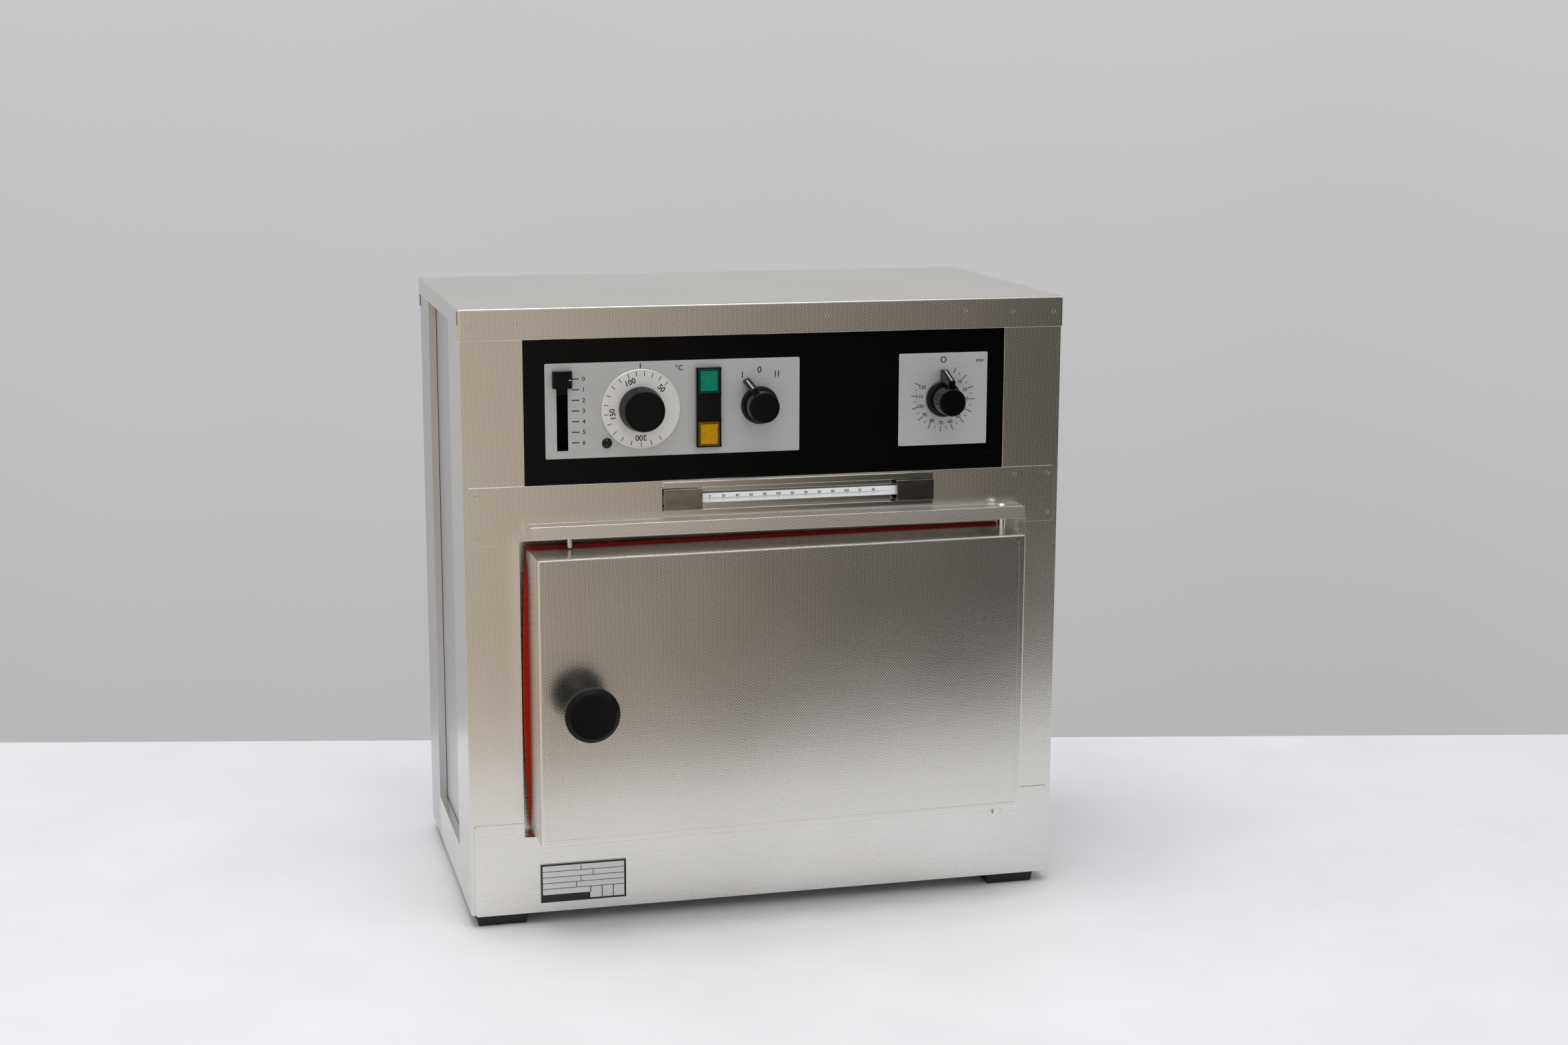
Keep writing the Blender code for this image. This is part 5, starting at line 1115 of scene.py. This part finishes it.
def gasket_path(inset):
    x0, x1 = GASKET_X0 + inset, GASKET_X1 - inset
    lip = max(0.0, 1.0 - inset / 6.0)
    z0, z1 = GASKET_Z0 + inset, GASKET_Z1 - inset - END_RISE * lip
    points = []
    for i in range(24):
        share = i / 24.0
        bow = (1.0 - math.sin(math.pi * share) ** 0.7) * BOW * lip
        points.append((x0 + bow, z0 + (z1 - z0) * share))
    for i in range(24):
        share = i / 24.0
        points.append((x0 + BOW * lip * (1.0 - share) + (x1 - x0) * share, z1))
    for i in range(24):
        points.append((x1, z1 - (z1 - z0) * i / 24.0))
    for i in range(24):
        share = i / 24.0
        points.append((x1 + (x0 + BOW * lip - x1) * share, z0))
    return points


work = bmesh.new()
loops = []
for inset, y in ((0.8, GASKET_FRONT), (0.15, 9.3), (0.0, 10.2), (0.2, 11.2), (0.9, GASKET_BACK),
                 (7.0, GASKET_BACK - 0.2), (8.0, 10.9), (9.0, GASKET_BACK - 0.2),
                 (GASKET_WIDTH - 0.8, GASKET_BACK), (GASKET_WIDTH, 11.0),
                 (GASKET_WIDTH, 9.4), (GASKET_WIDTH - 0.8, GASKET_FRONT)):
    loops.append([work.verts.new((x, y, z)) for x, z in gasket_path(inset)])
for loop, following in zip(loops, loops[1:] + loops[:1]):
    for i in range(96):
        work.faces.new([loop[i], loop[(i + 1) % 96], following[(i + 1) % 96], following[i]])
piece_from("door_gasket_profile", work, silicone_red, "door", ("door_gasket",),
           hung=True)

# %% [markdown]
# ## Fasteners and weld marks
# A rounded screw head sits on the ledge over the hinge, and the catch is a slim spring pin.
# Small rings in the cover's lip and in the rail show where the sheets are spot welded.

# %% Screw, catch and weld marks
screw_radius = 3.7
head_low, head_top = 304.3, 306.6
work = bmesh.new()
lathe(work, [(0.0, head_low - 0.2), (screw_radius - 0.2, head_low - 0.2),
             (screw_radius, head_low + 0.3), (screw_radius * 0.93, head_low + 0.9),
             (screw_radius * 0.7, head_top - 0.35), (screw_radius * 0.4, head_top - 0.08),
             (0.0, head_top)], 184.0, -12.0, 0.0, steps=48, rising=True)
piece_from("hinge_screw_head", work, polished_stainless, "casing")
refinish(("hinge_screw",), polished_stainless)

low, high = box_of("catch_pin")
pin_radius = (high.x - low.x) / 2.0
work = bmesh.new()
lathe(work, [(0.0, low.z), (pin_radius * 0.6, low.z), (pin_radius * 0.92, low.z + 0.8),
             (pin_radius, low.z + 1.8), (pin_radius, high.z - 0.4),
             (pin_radius - 0.4, high.z), (0.0, high.z)],
      (low.x + high.x) / 2.0, (low.y + high.y) / 2.0, 0.0, steps=40, rising=True)
piece_from("catch_pin_turned", work, polished_stainless, "catch", ("catch_pin",))

parts = []
COVER_LIP = box_of("top_cover")[0].y
RAIL_FACE = box_of("mid_rail")[0].y
for face, spots in (
    (COVER_LIP, ((-227.4, 452.4), (-193.3, 454.6), (45.3, 455.2), (156.0, 456.2),
                 (194.6, 455.1), (228.0, 454.3))),
    (RAIL_FACE, ((-224.0, 326.9), (-224.6, 294.5), (198.5, 326.9), (225.7, 327.1),
                 (226.4, 296.1))),
):
    for x, z in spots:
        work = bmesh.new()
        lathe(work, [(0.0, 0.01), (1.1, 0.01), (1.35, 0.05), (1.5, 0.05), (1.8, 0.0),
                     (0.0, -0.05)], 0.0, 0.0, 0.0, steps=24)
        ring = copies(field_tree, work, embossed_stainless, Count=1, Row_length=1,
                      Step=(0.0, 0.0, 0.0), Row_step=(0.0, 0.0, 0.0))
        parts.append((ring, at(x, face, z)))
piece_from_copies("spot_weld_rings", parts, embossed_stainless, "casing")

# %% [markdown]
# ## Hem of the door
# The door's sheet is hemmed, and the hem's edge shows through as a fine line about 5 mm
# inside the outline. It is a low ridge, a tenth of a millimetre high.

# %% Door hem
HEM_INSET, HEM_WIDE = 5.0, 0.5
HEM_X0, HEM_X1 = -187.6 + HEM_INSET, 195.4 - HEM_INSET
HEM_Z0, HEM_Z1 = 65.5 + HEM_INSET, 285.4 - HEM_INSET
work = bmesh.new()
for x0, x1, z0, z1 in (
    (HEM_X0, HEM_X0 + HEM_WIDE, HEM_Z0, HEM_Z1), (HEM_X1 - HEM_WIDE, HEM_X1, HEM_Z0, HEM_Z1),
    (HEM_X0 + HEM_WIDE, HEM_X1 - HEM_WIDE, HEM_Z0, HEM_Z0 + HEM_WIDE),
):
    block(work, (x0, DOOR_FRONT - 0.1, z0), (x1, DOOR_FRONT + 0.1, z1))
piece_from("door_hem_line", work, embossed_stainless, "door",
           edge=0.09, hung=True)

# %% [markdown]
# ## Data plate
# A thin aluminium label is glued to the base rail. Only its printed table is kept, with its
# cells empty: a heavy border and thin rules.

# %% Blank data plate
folded("data_plate", label_silver, "casing", 0.1)
low, high = box_of("data_plate")
face = low.y
width, tall = high.x - low.x, high.z - low.z
BORDER, RULE = 1.5, 0.5
work = bmesh.new()
bar(work, low.x + 0.3, high.x - 0.3, high.z - 0.3 - BORDER, high.z - 0.3, face)
bar(work, low.x + 0.3, high.x - 0.3, low.z + 0.3, low.z + 0.3 + BORDER, face)
bar(work, low.x + 0.3, low.x + 0.3 + BORDER, low.z + 0.3 + BORDER, high.z - 0.3 - BORDER, face)
bar(work, high.x - 0.3 - BORDER, high.x - 0.3, low.z + 0.3 + BORDER, high.z - 0.3 - BORDER, face)
inner_x0, inner_x1 = low.x + 0.3 + BORDER, high.x - 0.3 - BORDER
row_height = (tall - 0.6 - 2.0 * BORDER) / 6.0
split_x = inner_x0 + (inner_x1 - inner_x0) * 0.58
for i, share in enumerate((0.47, 0.62, 0.47, 0.41)):
    z = high.z - 0.3 - BORDER - row_height * (i + 1)
    bar(work, inner_x0, inner_x1, z - RULE / 2.0, z + RULE / 2.0, face)
    x = inner_x0 + (inner_x1 - inner_x0) * share
    bar(work, x - RULE / 2.0, x + RULE / 2.0, z + RULE / 2.0, z + row_height - RULE / 2.0, face)
foot = low.z + 0.3 + BORDER
bar(work, inner_x0, split_x, foot, foot + row_height, face)
square = (inner_x1 - split_x) / 3.0
for i in range(3):
    x = split_x + square * i
    bar(work, x, x + 0.7, foot + (row_height if i == 0 else 0.0),
        foot + 2.0 * row_height - RULE / 2.0, face)
piece_from("data_plate_table", work, print_black, "casing")

# %% [markdown]
# ## Wire shelf
# The shelf in the chamber is welded from round wire: a frame, a few cross wires and many long
# ones. One short round wire is drawn and stepped along by the field tree.

# %% Wire shelf
low, high = box_of("wire_shelf")
WIRE, FRAME_WIRE = 1.25, 2.2


def wire(work, length, radius, along, steps=10):
    ends = []
    for end in (-length / 2.0, length / 2.0):
        ring = []
        for i in range(steps):
            a = 2.0 * math.pi * i / steps
            u, v = radius * math.cos(a), radius * math.sin(a)
            ring.append(work.verts.new((end, u, v) if along == "x" else (u, end, v)))
        ends.append(ring)
    for i in range(steps):
        work.faces.new([ends[0][i], ends[0][(i + 1) % steps], ends[1][(i + 1) % steps],
                        ends[1][i]])
    work.faces.new(ends[0])
    work.faces.new(list(reversed(ends[1])))


parts = []
middle = (low + high) / 2.0
span, deep = high.x - low.x, high.y - low.y
shelf_top = high.z
WIRES = 21
work = bmesh.new()
wire(work, deep - 2.0 * FRAME_WIRE, WIRE, "y")
long_step = (span - 4.0 * FRAME_WIRE) / (WIRES - 1)
parts.append((copies(
    field_tree, work, polished_stainless, Count=WIRES, Row_length=WIRES,
    Step=(long_step * MM, 0.0, 0.0), Row_step=(0.0, 0.0, 0.0),
), at(low.x + 2.0 * FRAME_WIRE, middle.y, shelf_top - WIRE)))
for count, length, radius, direction, start, step in (
    (2, span, FRAME_WIRE, "x", (middle.x, low.y + FRAME_WIRE),
     (0.0, (deep - 2.0 * FRAME_WIRE) * MM, 0.0)),
    (2, deep, FRAME_WIRE, "y", (low.x + FRAME_WIRE, middle.y),
     ((span - 2.0 * FRAME_WIRE) * MM, 0.0, 0.0)),
):
    work = bmesh.new()
    wire(work, length, radius, direction)
    parts.append((copies(
        field_tree, work, polished_stainless, Count=count, Row_length=count,
        Step=step, Row_step=(0.0, 0.0, 0.0),
    ), at(start[0], start[1], shelf_top - FRAME_WIRE)))
piece_from_copies("wire_shelf_welded", parts, polished_stainless, "casing", ("wire_shelf",))

# %% [markdown]
# ## Table and backdrop
# The oven stands on a white table with a light grey cloth behind it. The cloth shows its written
# colour to the camera and to metal, and the lit table takes the oven's shadow.

# %% Table and backdrop
TABLE_FRONT, TABLE_BACK, TABLE_HALF = -0.54, 0.377, 3.2
TABLE_TURN = math.radians(-12.7)
table_mesh = bpy.data.meshes.new("table")
table_mesh.from_pydata(
    [(-TABLE_HALF, TABLE_FRONT, 0.0), (TABLE_HALF, TABLE_FRONT, 0.0),
     (TABLE_HALF, TABLE_BACK, 0.0), (-TABLE_HALF, TABLE_BACK, 0.0),
     (-TABLE_HALF, TABLE_FRONT, -0.04), (TABLE_HALF, TABLE_FRONT, -0.04),
     (TABLE_HALF, TABLE_BACK, -0.04), (-TABLE_HALF, TABLE_BACK, -0.04)], [],
    [(0, 1, 2, 3), (0, 4, 5, 1), (1, 5, 6, 2), (2, 6, 7, 3), (3, 7, 4, 0), (7, 6, 5, 4)],
)
table_mesh.transform(Matrix.Rotation(TABLE_TURN, 4, "Z"))
table = bpy.data.objects.new("table", table_mesh)
bpy.context.scene.collection.objects.link(table)
table_white, tree, shader = new_material("white_table_board", "E8E9EB", 0.0, 0.42)
point = object_point(tree)
scuffs = noise(tree, point, 7.0)
tint(tree, shader, spread(tree, scuffs, 0.0, 1.0), "E2E3E5", "ECEDEF")
relief(tree, shader, noise(tree, point, 120.0), 0.02)
table_mesh.materials.append(table_white)

BACKDROP_HALF, BACKDROP_BACK = 6.0, 3.2
BACKDROP_LOW, BACKDROP_HIGH = -2.6, 4.0
backdrop_mesh = bpy.data.meshes.new("backdrop")
backdrop_mesh.from_pydata(
    [(-BACKDROP_HALF, BACKDROP_BACK, BACKDROP_LOW), (BACKDROP_HALF, BACKDROP_BACK, BACKDROP_LOW),
     (BACKDROP_HALF, BACKDROP_BACK, BACKDROP_HIGH), (-BACKDROP_HALF, BACKDROP_BACK, BACKDROP_HIGH)],
    [], [(0, 1, 2, 3)],
)
backdrop_mesh.transform(Matrix.Rotation(TABLE_TURN, 4, "Z"))
backdrop = bpy.data.objects.new("backdrop", backdrop_mesh)
bpy.context.scene.collection.objects.link(backdrop)
cloth_grey = bpy.data.materials.new("light_grey_backdrop_cloth")
cloth_grey.use_nodes = True
tree = cloth_grey.node_tree
tree.nodes.clear()
point = object_point(tree)
# Painted shade: the cloth darkens towards the bottom and in soft blotches that stand for folds.
painted_fold_shade = spread(tree, noise(tree, point, 0.6, (1.0, 1.0, 0.5), 2.0), -0.15, 0.15)
height = add_node(tree, "ShaderNodeSeparateXYZ", {"Vector": point}).outputs["Z"]
rising = add_node(
    tree, "ShaderNodeMapRange", {"Value": height}, {"From Min": -1.1, "From Max": 1.0},
).outputs["Result"]
painted_backdrop_shade = add_node(tree, "ShaderNodeMath", {0: rising, 1: painted_fold_shade}, use_clamp=True).outputs["Value"]
cloth_mix = add_node(tree, "ShaderNodeMix", {"Factor": painted_backdrop_shade}, data_type="RGBA")
for socket in cloth_mix.inputs:
    if socket.type == "RGBA":
        socket.default_value = rgb("B3B3B4") if socket.name == "A" else rgb("CBCBCB")
cloth_colour = [s for s in cloth_mix.outputs if s.type == "RGBA"][0]
glow = add_node(tree, "ShaderNodeEmission", {"Color": cloth_colour}, {"Strength": 1.0})
matt = add_node(tree, "ShaderNodeBsdfDiffuse", {"Color": cloth_colour})
rays = add_node(tree, "ShaderNodeLightPath")
seen = add_node(
    tree, "ShaderNodeMath",
    {0: rays.outputs["Is Camera Ray"], 1: rays.outputs["Is Glossy Ray"]}, operation="ADD",
)
seen_all = add_node(
    tree, "ShaderNodeMath",
    {0: seen.outputs["Value"], 1: rays.outputs["Is Transmission Ray"]}, use_clamp=True,
)
either = add_node(
    tree, "ShaderNodeMixShader",
    {0: seen_all.outputs["Value"], 1: matt.outputs["BSDF"], 2: glow.outputs["Emission"]},
)
add_node(tree, "ShaderNodeOutputMaterial", {"Surface": either.outputs["Shader"]})
backdrop_mesh.materials.append(cloth_grey)
print("table and backdrop ready")

# %% [markdown]
# ## Light
# Soft light falls from above the camera. Steel mirrors the room, so the room matters: bright
# overhead, a dim room in front of the table, and lighter walls at the left.

# %% Room and lamps
world = bpy.data.worlds.new("room")
bpy.context.scene.world = world
world.use_nodes = True
tree = world.node_tree
tree.nodes.clear()
direction = add_node(tree, "ShaderNodeTexCoord").outputs["Generated"]
parts_of = add_node(tree, "ShaderNodeSeparateXYZ", {"Vector": direction})


def blend_by(axis, start, end, factor_a, factor_b):
    share = add_node(
        tree, "ShaderNodeMapRange", {"Value": parts_of.outputs[axis]},
        {"From Min": start, "From Max": end}, interpolation_type="SMOOTHSTEP",
    )
    mix = add_node(tree, "ShaderNodeMix", {"Factor": share.outputs["Result"]}, data_type="RGBA")
    for socket in mix.inputs:
        if socket.type == "RGBA":
            source = factor_a if socket.name == "A" else factor_b
            if isinstance(source, str):
                socket.default_value = rgb(source)
            else:
                tree.links.new(source, socket)
    return [s for s in mix.outputs if s.type == "RGBA"][0]


sides = blend_by("X", 0.12, 0.3, "D3C6B5", "3C3B3A")
depthwise = blend_by("Y", -0.35, 0.3, sides, "B4B4B6")
room_colour = blend_by("Z", 0.04, 0.6, depthwise, "E6E6E8")
mirrored = add_node(tree, "ShaderNodeBackground", {"Color": room_colour}, {"Strength": 1.0})
even = add_node(tree, "ShaderNodeBackground", values={"Color": rgb("E4E4E6"), "Strength": 0.92})
rays = add_node(tree, "ShaderNodeLightPath")
room = add_node(
    tree, "ShaderNodeMixShader",
    {0: rays.outputs["Is Glossy Ray"], 1: even.outputs["Background"],
     2: mirrored.outputs["Background"]},
)
add_node(tree, "ShaderNodeOutputWorld", {"Surface": room.outputs["Shader"]})


def soft_lamp(name, place, target, size, power):
    data = bpy.data.lights.new(name, "AREA")
    data.shape = "RECTANGLE"
    data.size, data.size_y = size
    data.energy = power
    lamp = bpy.data.objects.new(name, data)
    bpy.context.scene.collection.objects.link(lamp)
    lamp.location = place
    lamp.rotation_euler = (Vector(target) - Vector(place)).to_track_quat("-Z", "Y").to_euler()


soft_lamp("overhead_softbox", (-0.3, -0.3, 2.3), (0.0, 0.0, 0.2), (2.2, 1.4), 30.0)
